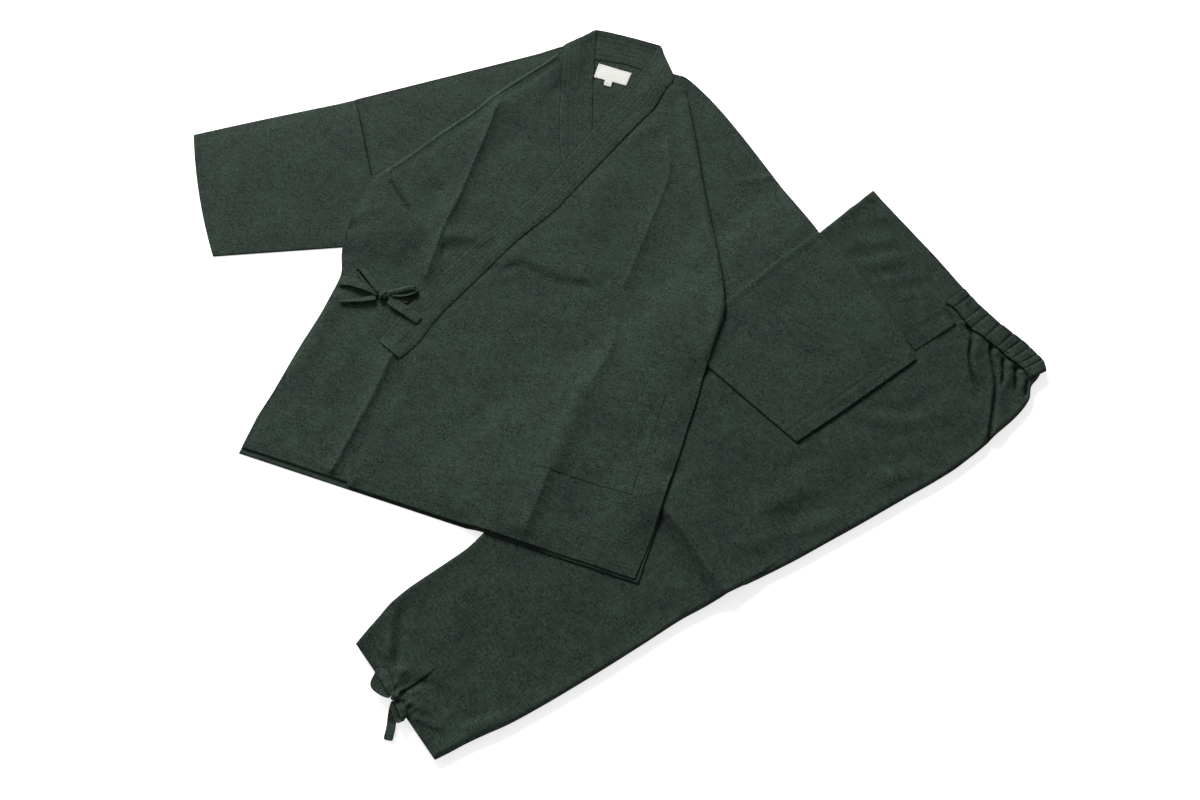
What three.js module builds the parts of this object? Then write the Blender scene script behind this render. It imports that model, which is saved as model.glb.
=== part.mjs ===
// A samue set (jacket and trousers) laid flat: the trousers folded leg on leg,
// the jacket spread over them with its side tie in a bow.
// Millimetres, +Z up, the set rests on z = 0.
import * as THREE from 'three';

// ---------- driving sizes ----------
const wall = 1.2;              // one layer of slub cotton
const bandWall = 2.6;          // neckband: doubled cloth with its stitched filling
const tapeWall = 1.4;          // ties: a narrow strip folded and sewn
const labelWall = 1.0;
const lap = 0.3;               // air between a piece and what it lies on
const seamGap = 0.3;           // side by side pieces, in plan
const sleeveAir = 0.8;         // between the two layers of a sleeve
const hiddenLayers = 3;        // layers of trouser cloth under the leg that shows
const hiddenLayer = 2.0;       // each, with the air in it
const tieWidth = 15;
const ankleTieWidth = 13;
const middle = { x: 4.05, y: 68.73 };   // middle of the whole layout, moved to the origin

// Each garment is drawn on its own axes: down (or along) and across, turned and placed on the floor.
const jacketAxes = { x: 34.4, y: 565.7, heading: -108.68 };    // from the back neck to the hem
const trouserAxes = { x: 522.7, y: 169.7, heading: -143.17 };  // from the waist to the ankle

// ---------- tables ----------
// Left front: the edge under the neckband, the pressed crease and the side edge, by distance down.
const leftFrontRows = [
  { down: 16, band: 74, crease: 88, side: 109 },
  { down: 46, band: 68, crease: 93, side: 123 },
  { down: 88, band: 55, crease: 103, side: 145 },
  { down: 133, band: 37, crease: 118, side: 167 },
  { down: 183, band: 17, crease: 134, side: 191 },
  { down: 233, band: 1, crease: 132, side: 217 },
  { down: 287, band: -20, crease: 129, side: 244 },
  { down: 337, band: -49, crease: 126, side: 266 },
  { down: 381, band: -68, crease: 124, side: 277 },
  { down: 430, band: -90, crease: 131, side: 276 },
  { down: 470, band: -107, crease: 140, side: 276 },
  { down: 511, band: -123, crease: 130, side: 278 },
  { down: 553, band: -132, crease: 123, side: 278 },
  { down: 581, band: -140, crease: 123, side: 279 },
  { down: 646, band: -138, crease: 120, side: 278 },
  { down: 710, band: -139, crease: 120, side: 279 },
  { down: 778, band: -139, crease: 120, side: 275 },
];
// Right front: the folded outer edge, the raised crease and the edge under the neckband.
const rightFrontRows = [
  { down: 14, side: -100, crease: -97, band: -92 },
  { down: 34, side: -112, crease: -97, band: -79 },
  { down: 74, side: -139, crease: -110, band: -67 },
  { down: 115, side: -166, crease: -140, band: -56 },
  { down: 155, side: -187, crease: -157, band: -42 },
  { down: 213, side: -224, crease: -155, band: -20 },
  { down: 272, side: -259, crease: -155, band: 5 },
  { down: 327, side: -294, crease: -156, band: 29 },
  { down: 360, side: -294, crease: -158, band: 45 },
  { down: 394, side: -292, crease: -157, band: 61 },
  { down: 445, side: -286, crease: -154, band: 83 },
  { down: 487, side: -272, crease: -153, band: 103 },
  { down: 535, side: -274, crease: -152, band: 126 },
  { down: 606, side: -283, crease: -154, band: 140 },
  { down: 685, side: -291, crease: -158, band: 140 },
  { down: 732, side: -297, crease: -163, band: 140 },
  { down: 773, side: -298, crease: -167, band: 140 },
];
// Armhole: a straight seam, the same on both sides (across is counted outwards from the middle).
const armhole = { top: [196, 368.5], foot: [415, 230] };
const shoulderReach = 0.63;    // how far down the armhole the body's own cloth goes
const shoulderNeck = { outer: [-2, 90], inner: [30, 72] };
const shoulderCells = { rows: 12, cols: 5 };
const shoulderBow = { right: 0, left: 17 };    // how far the folded shoulder rounds outwards near the neck
const armholeEnd = armhole.top.map((value, k) => value + (armhole.foot[k] - value) * shoulderReach);

// Back panel: straight shoulders, straight armholes, then the sides and the slit below 650.
const backRows = [
  { down: -8, right: -86, left: 92 },
  { down: 6, right: -105, left: 126 },
  { down: 34, right: -144, left: 169.5 },
  { down: 86, right: -216, left: 237 },
  { down: 141, right: -292.3, left: 303 },
  { down: armhole.top[0], right: -armhole.top[1], left: armhole.top[1] },
  { down: armholeEnd[0], right: -armholeEnd[1], left: armholeEnd[1] },
  { down: 388, right: -283, left: 275 },
  { down: 440, right: -277, left: 274 },
  { down: 487, right: -269, left: 274 },
  { down: 545, right: -272, left: 275 },
  { down: 606, right: -281, left: 276 },
  { down: 650, right: -286, left: 277 },
  { down: 690, right: -290, left: 281 },
  { down: 735, right: -295, left: 281 },
  { down: 782, right: -299, left: 281 },
];
const backStep = { rows: 50, cols: 14 };
// Sleeves: the cuff's two corners, and how far the upper edge and the cuff bow outwards.
const sleeves = {
  right: { side: -1, cuffTop: [333, 580], cuffFoot: [515, 463], topBow: 1, cuffBow: 6 },
  left: { side: 1, cuffTop: [348, 555], cuffFoot: [524, 427], topBow: 10, cuffBow: 1 },
};
const sleeveCells = { along: 9, across: 8 };
const shoulderOut = [-0.82, 0.58];      // square to the shoulder line, away from the body
const cuffOut = [0.54, 0.84];           // square to the cuff, away from the body

// Neckband stretches: where the outer and the inner edge are, station by station, in jacket axes.
const leftBandStations = [
  { outer: [-3, 83], inner: [-50, 46] },
  { outer: [8, 86], inner: [-12, 37] },
  { outer: [30, 80], inner: [10, 31] },
  { outer: [61, 74], inner: [43, 24] },
  { outer: [88, 63], inner: [70, 14] },
  { outer: [123, 49], inner: [105, 3] },
  { outer: [183, 26], inner: [165, -17] },
  { outer: [235, 7], inner: [217, -34] },
  { outer: [284, -12], inner: [266, -50] },
  { outer: [337, -41], inner: [316, -75] },
  { outer: [377, -59], inner: [356, -98] },
  { outer: [417, -76], inner: [396, -117] },
  { outer: [465, -97], inner: [445, -140] },
  { outer: [511, -115], inner: [494, -160] },
  { outer: [548, -124], inner: [530, -171] },
  { outer: [581, -140], inner: [564, -179] },
];
const rightBandStations = [
  { outer: [1, -96], inner: [-46, -58] },
  { outer: [20, -91], inner: [-8, -47] },
  { outer: [40, -85], inner: [24, -38] },
  { outer: [81, -74], inner: [65, -26] },
  { outer: [121, -62], inner: [105, -13] },
  { outer: [157, -49], inner: [140, -2] },
  { outer: [190, -36], inner: [172, 10] },
  { outer: [245, -13], inner: [226, 32] },
  { outer: [300, 11], inner: [280, 55] },
  { outer: [370, 43], inner: [349, 87] },
  { outer: [440, 75], inner: [420, 119] },
  { outer: [510, 107], inner: [490, 151] },
  { outer: [581, 140], inner: [561, 184] },
];
const backBandStations = [
  { outer: [-1, -93], inner: [9, -88] },
  { outer: [-24, -75], inner: [10, -70] },
  { outer: [-46, -57], inner: [8, -50] },
  { outer: [-49, -22], inner: [3, -20] },
  { outer: [-50, 12], inner: [0, 8] },
  { outer: [-50, 45], inner: [1, 34] },
  { outer: [-27, 63], inner: [6, 58] },
  { outer: [-4, 82], inner: [10, 78] },
];

const pocketCorners = {
  topInner: [531, 96], topOuter: [514, 235], footInner: [672, 99], footOuter: [671, 235],
};
const labelCorners = { topInner: [12, -34], topOuter: [13, 20], footInner: [38, -33], footOuter: [37, 19] };
const tabCorners = { topInner: [37.6, -15], topOuter: [37.4, -3], footInner: [47, -14], footOuter: [47, -3] };

// Trousers: the front fold, the side seam and the seat fold, by distance along the leg.
const legRows = [
  { along: -6, front: -200, seam: 3, seat: 158 },
  { along: 12, front: -199, seam: 3, seat: 168 },
  { along: 24, front: -198, seam: 3, seat: 171 },
  { along: 37, front: -198, seam: 3, seat: 183 },
  { along: 50, front: -197, seam: 3, seat: 188 },
  { along: 64, front: -196, seam: 4, seat: 191 },
  { along: 80, front: -195, seam: 4, seat: 193 },
  { along: 97, front: -194, seam: 4, seat: 194 },
  { along: 115, front: -192, seam: 5, seat: 195 },
  { along: 133, front: -190, seam: 5, seat: 197 },
  { along: 155, front: -188, seam: 6, seat: 198 },
  { along: 185, front: -185, seam: 6, seat: 198 },
  { along: 224, front: -180, seam: 7, seat: 195 },
  { along: 269, front: -174, seam: 7, seat: 189 },
  { along: 310, front: -169, seam: 8, seat: 184 },
  { along: 350, front: -163, seam: 8, seat: 179 },
  { along: 400, front: -157, seam: 8, seat: 172 },
  { along: 450, front: -151, seam: 8, seat: 165 },
  { along: 500, front: -146, seam: 8, seat: 156 },
  { along: 546, front: -141, seam: 4, seat: 147 },
  { along: 585, front: -137, seam: 3, seat: 142 },
  { along: 625, front: -132, seam: 2, seat: 136 },
  { along: 680, front: -126, seam: 0, seat: 132 },
  { along: 740, front: -119, seam: -1, seat: 127 },
  { along: 800, front: -111, seam: -2, seat: 121 },
  { along: 842, front: -112, seam: -3, seat: 116 },
  { along: 882, front: -113, seam: -3, seat: 110 },
  { along: 912, front: -111, seam: -3, seat: 103 },
  { along: 940, front: -104, seam: -4, seat: 97 },
  { along: 960, front: -99, seam: -5, seat: 94 },
  { along: 981, front: -93, seam: -8, seat: 90 },
];
// Waist and ankle lines are not quite square to the leg: how far each runs past the row, by across.
const waistSkew = [
  { across: -200, shift: 0 }, { across: -60, shift: 0 }, { across: 20, shift: 3 },
  { across: 90, shift: -3 }, { across: 140, shift: -9 },
];
const waistSkewFade = 40;      // the skew is gone this far along
// Waistband: its free edge and its seam along the leg, and how far its seam end is pulled across.
const bandRows = [
  { across: 3, edge: -3, seam: 34, pull: 0 },
  { across: 20, edge: -3, seam: 30, pull: 0 },
  { across: 53, edge: -2, seam: 32, pull: 1 },
  { across: 89, edge: -9, seam: 25, pull: 4 },
  { across: 126, edge: -15, seam: 21, pull: -3 },
  { across: 150, edge: -15, seam: 17, pull: -5 },
  { across: 168, edge: -8, seam: 21, pull: -5 },
];
const bandGathers = { count: 10, height: 2.6, perGather: 4, thickness: 1.8 };
const weltCorners = { topInner: [38, 3], topOuter: [44, 26], footInner: [114, 4], footOuter: [117, 31] };

// Folds raised in a panel: the line of each, its height and how far it reaches to either side.
const leftFrontFolds = [
  { line: [[150, 124], [183, 134], [381, 124], [470, 140], [553, 123], [778, 120]], height: 2.6, reach: 20 },
  { line: [[330, 30], [322, 90], [318, 130]], height: 2.0, reach: 22 },
];
const rightFrontFolds = [
  { line: [[130, -157], [272, -155], [360, -158], [454, -154]], height: 4.6, reach: 20 },
  { line: [[587, -154], [685, -158], [773, -167]], height: 3.4, reach: 18 },
  { line: [[385, -285], [392, -262]], height: 4.5, reach: 20 },
];
const legBackFolds = [
  { line: [[47, 66], [54, 84], [68, 102], [88, 140]], height: 8, reach: 13 },
  { line: [[46, 124], [62, 140], [99, 169], [131, 191]], height: 9, reach: 13 },
  { line: [[42, 142], [58, 160]], height: 4, reach: 10 },
  { line: [[546, 6], [549, 145]], height: 3, reach: 18 },
];
const legFrontFolds = [
  { line: [[60, -185], [75, -90]], height: 3, reach: 18 },
  { line: [[80, -40], [40, -12]], height: 4, reach: 16 },
];

// Side tie, in jacket axes: the middle line of each flat stretch, from its far end to the knot.
const tiePaths = {
  tie_from_side: { line: [[493, -268], [491, -245], [494, -224], [496, -209.5]], beside: [] },
  tie_from_band: { line: [[489, -164], [492, -178], [495, -190.5]], beside: ['neckband_left'] },
  tie_tail_left: { line: [[524, -255], [517, -238], [509, -220], [501.5, -208.5]], beside: [] },
  tie_tail_right: { line: [[517, -136], [511, -152], [505, -172], [500.5, -191.5]], beside: [] },
};
// Loops stand on the edge of their tape: from the knot to the round end, and how wide they open.
const tieLoops = {
  tie_loop_left: { from: [487.5, -207], to: [466, -246], opening: 9 },
  tie_loop_right: { from: [486, -193], to: [471, -160], opening: 10 },
};
const loopSteps = 20;
const loopDrop = 0.8;          // 0 is an oval loop, 1 a drop that comes to nothing at the knot
const tieLoopHeight = 9;
const knotCells = 6;
const tieKnot = { at: [496, -200], long: 15, wide: 13, high: 6.5 };
// Ankle tie, in trouser axes.
const anklePaths = {
  ankle_tail: { line: [[1016, 29], [1006, 20], [996, 10], [982.8, 0.2]], beside: [] },
};
const ankleLoops = {
  ankle_loop_left: { from: [981, -13], to: [996, -37], opening: 9 },
  ankle_loop_right: { from: [976.5, 5], to: [989, 28], opening: 8 },
};
const ankleLoopHeight = 7;
const ankleKnot = { at: [977, -4], long: 13, wide: 12, high: 6 };
const tapeSteps = 8;
const pinch = { share: 0.5, length: 14 };      // a tape narrows to this share over this length at the knot

// ---------- plan helpers ----------
const radians = THREE.MathUtils.degToRad;

function onFloor(axes, along, across) {
  const a = radians(axes.heading);
  return [
    axes.x - middle.x + along * Math.cos(a) - across * Math.sin(a),
    axes.y - middle.y + along * Math.sin(a) + across * Math.cos(a),
  ];
}
const onJacket = (down, across) => onFloor(jacketAxes, down, across);
const onTrousers = (along, across) => onFloor(trouserAxes, along, across);

const mix = (a, b, t) => a + (b - a) * t;
const mixPoint = (p, q, t) => p.map((value, k) => mix(value, q[k], t));

// A column of a table read at any place, in straight steps between its rows.
function column(rows, key, at, name) {
  const last = rows.length - 1;
  if (at <= rows[0][key]) return rows[0][name];
  for (let k = 0; k < last; k += 1) {
    const span = rows[k + 1][key] - rows[k][key];
    if (at <= rows[k + 1][key]) return mix(rows[k][name], rows[k + 1][name], (at - rows[k][key]) / span);
  }
  return rows[last][name];
}

// Columns of a lattice between named guide lines of a table row: counts[k] cells from guide k to k + 1.
function spread(row, guides, counts) {
  const values = [row[guides[0]]];
  counts.forEach((count, k) => {
    for (let c = 1; c <= count; c += 1) values.push(mix(row[guides[k]], row[guides[k + 1]], c / count));
  });
  return values;
}

// Four corners (in garment axes) filled with an even lattice.
function patch(corners, axes, rowCount, colCount) {
  const lattice = [];
  for (let r = 0; r <= rowCount; r += 1) {
    const a = mixPoint(corners.topInner, corners.footInner, r / rowCount);
    const b = mixPoint(corners.topOuter, corners.footOuter, r / rowCount);
    const row = [];
    for (let c = 0; c <= colCount; c += 1) row.push(axes(...mixPoint(a, b, c / colCount)));
    lattice.push(row);
  }
  return lattice;
}

// A band between two edges given station by station.
function band(stations, axes, colCount) {
  return stations.map(({ outer, inner }) => {
    const row = [];
    for (let c = 0; c <= colCount; c += 1) row.push(axes(...mixPoint(outer, inner, c / colCount)));
    return row;
  });
}

// A tape along a smooth line through the given points, pinched at its last point, where the knot holds it.
function tape(points, axes, width, stepCount) {
  const curve = new THREE.CatmullRomCurve3(points.map(([p, q]) => new THREE.Vector3(p, q, 0)));
  const length = curve.getLength();
  const lattice = [];
  for (let s = 0; s <= stepCount; s += 1) {
    const at = curve.getPointAt(s / stepCount);
    const along = curve.getTangentAt(s / stepCount);
    const toKnot = Math.min(1, (length * (1 - s / stepCount)) / pinch.length);
    const half = (width / 2) * mix(pinch.share, 1, toKnot);
    lattice.push([-1, 0, 1].map((k) => axes(at.x - k * half * along.y, at.y + k * half * along.x)));
  }
  return lattice;
}

// ---------- what lies on what ----------
const cell = 3;                         // the height map's cell
const halfDiagonal = Math.SQRT1_2;      // from a cell's middle to its corner, in cells
const mapHalf = { x: 660, y: 600 };
const mapCols = Math.ceil((2 * mapHalf.x) / cell);
const mapRows = Math.ceil((2 * mapHalf.y) / cell);
const laid = new Map();                 // name of a piece -> triangles of its top, in laying order

// Each cell whose middle is inside a triangle widened by a margin, with the plane's height there.
function overCells(triangle, margin, visit) {
  const [a, b, c] = triangle;
  const area = (b[0] - a[0]) * (c[1] - a[1]) - (b[1] - a[1]) * (c[0] - a[0]);
  if (area === 0) return;
  const corners = area > 0 ? [a, b, c] : [a, c, b];
  const edges = corners.map((p, k) => {
    const q = corners[(k + 1) % 3];
    const length = Math.hypot(q[0] - p[0], q[1] - p[1]);
    return { p, nx: -(q[1] - p[1]) / length, ny: (q[0] - p[0]) / length };
  });
  const xs = corners.map((p) => p[0]);
  const ys = corners.map((p) => p[1]);
  const colFrom = Math.max(0, Math.floor((Math.min(...xs) - margin + mapHalf.x) / cell));
  const colTo = Math.min(mapCols - 1, Math.floor((Math.max(...xs) + margin + mapHalf.x) / cell));
  const rowFrom = Math.max(0, Math.floor((Math.min(...ys) - margin + mapHalf.y) / cell));
  const rowTo = Math.min(mapRows - 1, Math.floor((Math.max(...ys) + margin + mapHalf.y) / cell));
  for (let r = rowFrom; r <= rowTo; r += 1) {
    for (let k = colFrom; k <= colTo; k += 1) {
      const x = (k + 0.5) * cell - mapHalf.x;
      const y = (r + 0.5) * cell - mapHalf.y;
      const inside = edges.every(({ p, nx, ny }) => (x - p[0]) * nx + (y - p[1]) * ny >= -margin);
      if (inside) visit(r * mapCols + k, x, y);
    }
  }
}

// Height map of everything laid so far, without the pieces that lie beside the new one.
function groundUnder(beside) {
  const ground = new Float32Array(mapCols * mapRows);
  laid.forEach((triangles, name) => {
    if (beside.includes(name)) return;
    triangles.forEach((triangle) => {
      const plane = new THREE.Plane().setFromCoplanarPoints(...triangle.map((p) => new THREE.Vector3(...p)));
      const { x: nx, y: ny, z: nz } = plane.normal;
      const slack = (Math.hypot(nx, ny) / Math.abs(nz)) * cell * halfDiagonal;
      const highest = Math.max(...triangle.map((p) => p[2]));
      overCells(triangle, cell, (index, x, y) => {
        const height = Math.min(highest, -(nx * x + ny * y + plane.constant) / nz + slack);
        ground[index] = Math.max(ground[index], height);
      });
    });
  });
  return ground;
}

const facets = (rows, cols, visit) => {
  for (let r = 0; r < rows; r += 1) {
    for (let c = 0; c < cols; c += 1) {
      visit([[r, c], [r, c + 1], [r + 1, c + 1]]);
      visit([[r, c], [r + 1, c + 1], [r + 1, c]]);
    }
  }
};

// Lowest height of each lattice point at which no facet touches what is below.
function restHeights(lattice, beside) {
  const ground = groundUnder(beside);
  const heights = lattice.map((row) => row.map(() => 0));
  facets(lattice.length - 1, lattice[0].length - 1, (corners) => {
    let highest = 0;
    overCells(corners.map(([r, c]) => lattice[r][c]), cell * halfDiagonal, (index) => {
      highest = Math.max(highest, ground[index]);
    });
    const rest = highest > 0 ? highest + lap : 0;
    corners.forEach(([r, c]) => {
      heights[r][c] = Math.max(heights[r][c], rest);
    });
  });
  return heights;
}

const foldSharpness = 2;       // a fold is down to an eighth of its height at its reach

// Height that the folds add at a point given in garment axes.
function foldHeight(folds, along, across) {
  let height = 0;
  folds.forEach(({ line, height: crest, reach }) => {
    let nearest = Infinity;
    for (let k = 0; k + 1 < line.length; k += 1) {
      const [ax, ay] = line[k];
      const [bx, by] = line[k + 1];
      const span = (bx - ax) ** 2 + (by - ay) ** 2;
      const t = THREE.MathUtils.clamp(((along - ax) * (bx - ax) + (across - ay) * (by - ay)) / span, 0, 1);
      nearest = Math.min(nearest, Math.hypot(along - mix(ax, bx, t), across - mix(ay, by, t)));
    }
    height = Math.max(height, crest * Math.exp(-foldSharpness * (nearest / reach) ** 2));
  });
  return height;
}

// ---------- solids ----------
const samue = new THREE.Group();
const slubGreen = 0x38443e;
const creamWoven = 0xe6e6df;

// A closed solid between two lattices with the same rows and columns; wraps joins the last column
// to the first, which makes a ring or a tube.
function addMesh(name, grids, wraps, colour = slubGreen) {
  const positions = [];
  const index = [];
  const ids = grids.map((grid) => grid.map((row) => row.map((p) => {
    positions.push(...p);
    return positions.length / 3 - 1;
  })));
  const [outer, inner] = ids;
  const rows = outer.length;
  const cols = outer[0].length;
  const quad = (a, b, c, d) => index.push(a, b, c, a, c, d);
  const rowLimit = rows - 1;
  const colLimit = wraps ? cols : cols - 1;
  for (let r = 0; r < rowLimit; r += 1) {
    for (let c = 0; c < colLimit; c += 1) {
      const d = (c + 1) % cols;
      quad(outer[r][c], outer[r][d], outer[r + 1][d], outer[r + 1][c]);
      quad(inner[r][c], inner[r + 1][c], inner[r + 1][d], inner[r][d]);
    }
  }
  for (let c = 0; c < colLimit; c += 1) {
    const d = (c + 1) % cols;
    quad(outer[0][d], outer[0][c], inner[0][c], inner[0][d]);
    quad(outer[rowLimit][c], outer[rowLimit][d], inner[rowLimit][d], inner[rowLimit][c]);
  }
  if (!wraps) {
    for (let r = 0; r < rowLimit; r += 1) {
      quad(outer[r][0], outer[r + 1][0], inner[r + 1][0], inner[r][0]);
      quad(outer[r + 1][cols - 1], outer[r][cols - 1], inner[r][cols - 1], inner[r + 1][cols - 1]);
    }
  }
  addSolid(name, positions, index, colour);
}

function addSolid(name, positions, index, colour) {
  const geometry = new THREE.BufferGeometry();
  geometry.setAttribute('position', new THREE.Float32BufferAttribute(positions, 3));
  geometry.setIndex(volume(positions, index) < 0 ? flipped(index) : index);
  geometry.computeVertexNormals();
  const material = new THREE.MeshStandardMaterial({ color: colour, roughness: 0.95, metalness: 0 });
  const mesh = new THREE.Mesh(geometry, material);
  mesh.name = name;
  samue.add(mesh);
}

function volume(positions, index) {
  const point = (k) => new THREE.Vector3().fromArray(positions, index[k] * 3);
  let sum = 0;
  for (let k = 0; k < index.length; k += 3) sum += point(k).dot(point(k + 1).cross(point(k + 2)));
  return sum / 6;
}

function flipped(index) {
  const turned = [];
  for (let k = 0; k < index.length; k += 3) turned.push(index[k], index[k + 2], index[k + 1]);
  return turned;
}

// Keeps a piece's top, so that later pieces rest on it.
function remember(name, top) {
  const triangles = [];
  facets(top.length - 1, top[0].length - 1, (corners) => {
    triangles.push(corners.map(([r, c]) => top[r][c]));
  });
  laid.set(name, triangles);
}

// One layer of cloth: its lattice in plan, laid on what is below, plus its own folds.
function layCloth(name, lattice, { thickness = wall, beside = [], lift = null, colour } = {}) {
  const rest = restHeights(lattice, beside);
  const raised = (r, c) => rest[r][c] + (lift ? lift[r][c] : 0);
  const bottom = lattice.map((row, r) => row.map(([x, y], c) => [x, y, raised(r, c)]));
  const top = bottom.map((row) => row.map(([x, y, z]) => [x, y, z + thickness]));
  remember(name, top);
  addMesh(name, [top, bottom], false, colour);
}

// A flat tube: two layers of cloth joined in a round fold along both side edges of its lattice.
function layTube(name, lattice, { beside = [], air = sleeveAir, thickness = wall } = {}) {
  const rest = restHeights(lattice, beside);
  const high = 2 * thickness + air;
  const cols = lattice[0].length;
  const inset = (row, c, by) => {
    const other = c === 0 ? row[1] : row[cols - 2];
    const length = Math.hypot(other[0] - row[c][0], other[1] - row[c][1]);
    return mixPoint(row[c], other, by / length);
  };
  const ring = (row, heights, { low, tall, side, round }) => {
    const edge = (c, by) => (c === 0 || c === cols - 1 ? inset(row, c, by) : row[c]);
    const upper = row.map((_, c) => [...edge(c, side + round), heights[c] + tall]);
    const lower = row.map((_, c) => [...edge(c, side + round), heights[c] + low]).reverse();
    const fold = (c) => [...inset(row, c, side), heights[c] + (low + tall) / 2];
    return [...upper, fold(cols - 1), ...lower, fold(0)];
  };
  const skin = { low: 0, tall: high, side: 0, round: high / 3 };
  const hollow = { low: thickness, tall: high - thickness, side: thickness * 1.6, round: air / 2 };
  const outer = lattice.map((row, r) => ring(row, rest[r], skin));
  const inner = lattice.map((row, r) => ring(row, rest[r], hollow));
  remember(name, lattice.map((row, r) => row.map(([x, y], c) => [x, y, rest[r][c] + high])));
  addMesh(name, [outer, inner], true);
}

// The hidden layers of folded cloth as one solid: flat below, rounded, its edges grooved layer by layer.
function layStack(name, lattice, layers, layer, tuck) {
  const rows = lattice.length;
  const cols = lattice[0].length;
  const rim = [];
  for (let c = 0; c < cols; c += 1) rim.push([0, c]);
  for (let r = 1; r < rows; r += 1) rim.push([r, cols - 1]);
  for (let c = cols - 2; c >= 0; c -= 1) rim.push([rows - 1, c]);
  for (let r = rows - 2; r > 0; r -= 1) rim.push([r, 0]);
  const inward = ([r, c], by) => {
    const near = lattice[Math.min(Math.max(r, 1), rows - 2)][Math.min(Math.max(c, 1), cols - 2)];
    const [x, y] = lattice[r][c];
    return mixPoint([x, y], near, by / Math.hypot(near[0] - x, near[1] - y));
  };
  const profile = [];
  for (let k = 0; k < layers; k += 1) {
    profile.push({ by: tuck, z: k * layer }, { by: 0, z: (k + 0.5) * layer });
  }
  profile.push({ by: tuck, z: layers * layer });
  const positions = [];
  const index = [];
  const add = (x, y, z) => positions.push(x, y, z) / 3 - 1;
  const skirts = profile.map(({ by, z }) => rim.map((at) => add(...inward(at, by), z)));
  const sheet = (z, skirt) => lattice.map((row, r) => row.map(([x, y], c) => {
    const onRim = rim.findIndex(([p, q]) => p === r && q === c);
    return onRim < 0 ? add(x, y, z) : skirt[onRim];
  }));
  const lower = sheet(0, skirts[0]);
  const upper = sheet(layers * layer, skirts[skirts.length - 1]);
  facets(rows - 1, cols - 1, (corners) => {
    const [a, b, c] = corners;
    index.push(upper[a[0]][a[1]], upper[b[0]][b[1]], upper[c[0]][c[1]]);
    index.push(lower[a[0]][a[1]], lower[c[0]][c[1]], lower[b[0]][b[1]]);
  });
  for (let k = 0; k + 1 < skirts.length; k += 1) {
    rim.forEach((_, n) => {
      const m = (n + 1) % rim.length;
      index.push(skirts[k][n], skirts[k][m], skirts[k + 1][m]);
      index.push(skirts[k][n], skirts[k + 1][m], skirts[k + 1][n]);
    });
  }
  remember(name, lattice.map((row) => row.map(([x, y]) => [x, y, layers * layer])));
  addSolid(name, positions, index, slubGreen);
}

// ---------- trousers ----------
const legCounts = { front: 7, back: 12 };
const stackCells = { along: 22, across: 8 };
const stackInset = 2;          // the hidden layers stop this far inside the leg that shows
const stackTuck = 1.6;         // depth of the groove between two layers at the edge

// A point of the leg, with the waist line's skew faded out along it.
function legPoint(along, across) {
  const fade = Math.max(0, 1 - (along - legRows[0].along) / waistSkewFade);
  return onTrousers(along + column(waistSkew, 'across', across, 'shift') * fade, across);
}

// A leg panel in garment axes, drawn back by half a seam's gap on its side seam.
function legPanel(guides, count, gapSide) {
  const garment = legRows.map((row) => spread(row, guides, [count]).map((across) => [row.along, across]));
  garment.forEach((row) => {
    const seam = gapSide < 0 ? row.length - 1 : 0;
    row[seam][1] += gapSide * seamGap / 2;
  });
  return garment;
}

const onPlan = (garment, place) => garment.map((row) => row.map((p) => place(...p)));
const liftOf = (garment, folds) => garment.map((row) => row.map((p) => foldHeight(folds, ...p)));

function layTrousers() {
  const stack = [];
  const top = legRows[0].along + stackInset;
  const ankle = legRows[legRows.length - 1].along - stackInset;
  for (let r = 0; r <= stackCells.along; r += 1) {
    const along = mix(top, ankle, r / stackCells.along);
    const row = {
      front: column(legRows, 'along', along, 'front') + stackInset,
      seat: column(legRows, 'along', along, 'seat') - stackInset,
    };
    stack.push(spread(row, ['front', 'seat'], [stackCells.across]).map((across) => legPoint(along, across)));
  }
  layStack('legs_folded_under', stack, hiddenLayers, hiddenLayer, stackTuck);

  const front = legPanel(['front', 'seam'], legCounts.front, -1);
  layCloth('left_leg_front', onPlan(front, legPoint), { lift: liftOf(front, legFrontFolds) });
  const back = legPanel(['seam', 'seat'], legCounts.back, 1);
  const backLift = liftOf(back, legBackFolds);
  layCloth('left_leg_back', onPlan(back, legPoint), { beside: ['left_leg_front'], lift: backLift });

  layWaistband();
  layCloth('pocket_welt', patch(weltCorners, onTrousers, 4, 2));
}

// The elastic stretch: its gathers run across it, each a full wave of height along the band.
function layWaistband() {
  const gathers = [];
  const ridges = [];
  const steps = bandGathers.count * bandGathers.perGather;
  for (let k = 0; k <= steps; k += 1) {
    const across = mix(bandRows[0].across, bandRows[bandRows.length - 1].across, k / steps);
    const edge = column(bandRows, 'across', across, 'edge');
    const seam = column(bandRows, 'across', across, 'seam');
    const pull = column(bandRows, 'across', across, 'pull');
    gathers.push([0, 1, 2, 3].map((c) => onTrousers(mix(edge, seam, c / 3), across + (pull * c) / 3)));
    const wave = bandGathers.height * (1 - Math.cos((k / bandGathers.perGather) * 2 * Math.PI)) / 2;
    ridges.push([wave, wave, wave, wave]);
  }
  layCloth('waistband', gathers, { thickness: bandGathers.thickness, lift: ridges });
}

// ---------- jacket ----------
// Distances down a table, its own rows included, no more than a step apart.
function stations(rows, key, step) {
  const values = [rows[0][key]];
  for (let k = 0; k + 1 < rows.length; k += 1) {
    const pieces = Math.ceil((rows[k + 1][key] - rows[k][key]) / step);
    for (let c = 1; c <= pieces; c += 1) values.push(mix(rows[k][key], rows[k + 1][key], c / pieces));
  }
  return values;
}

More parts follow.
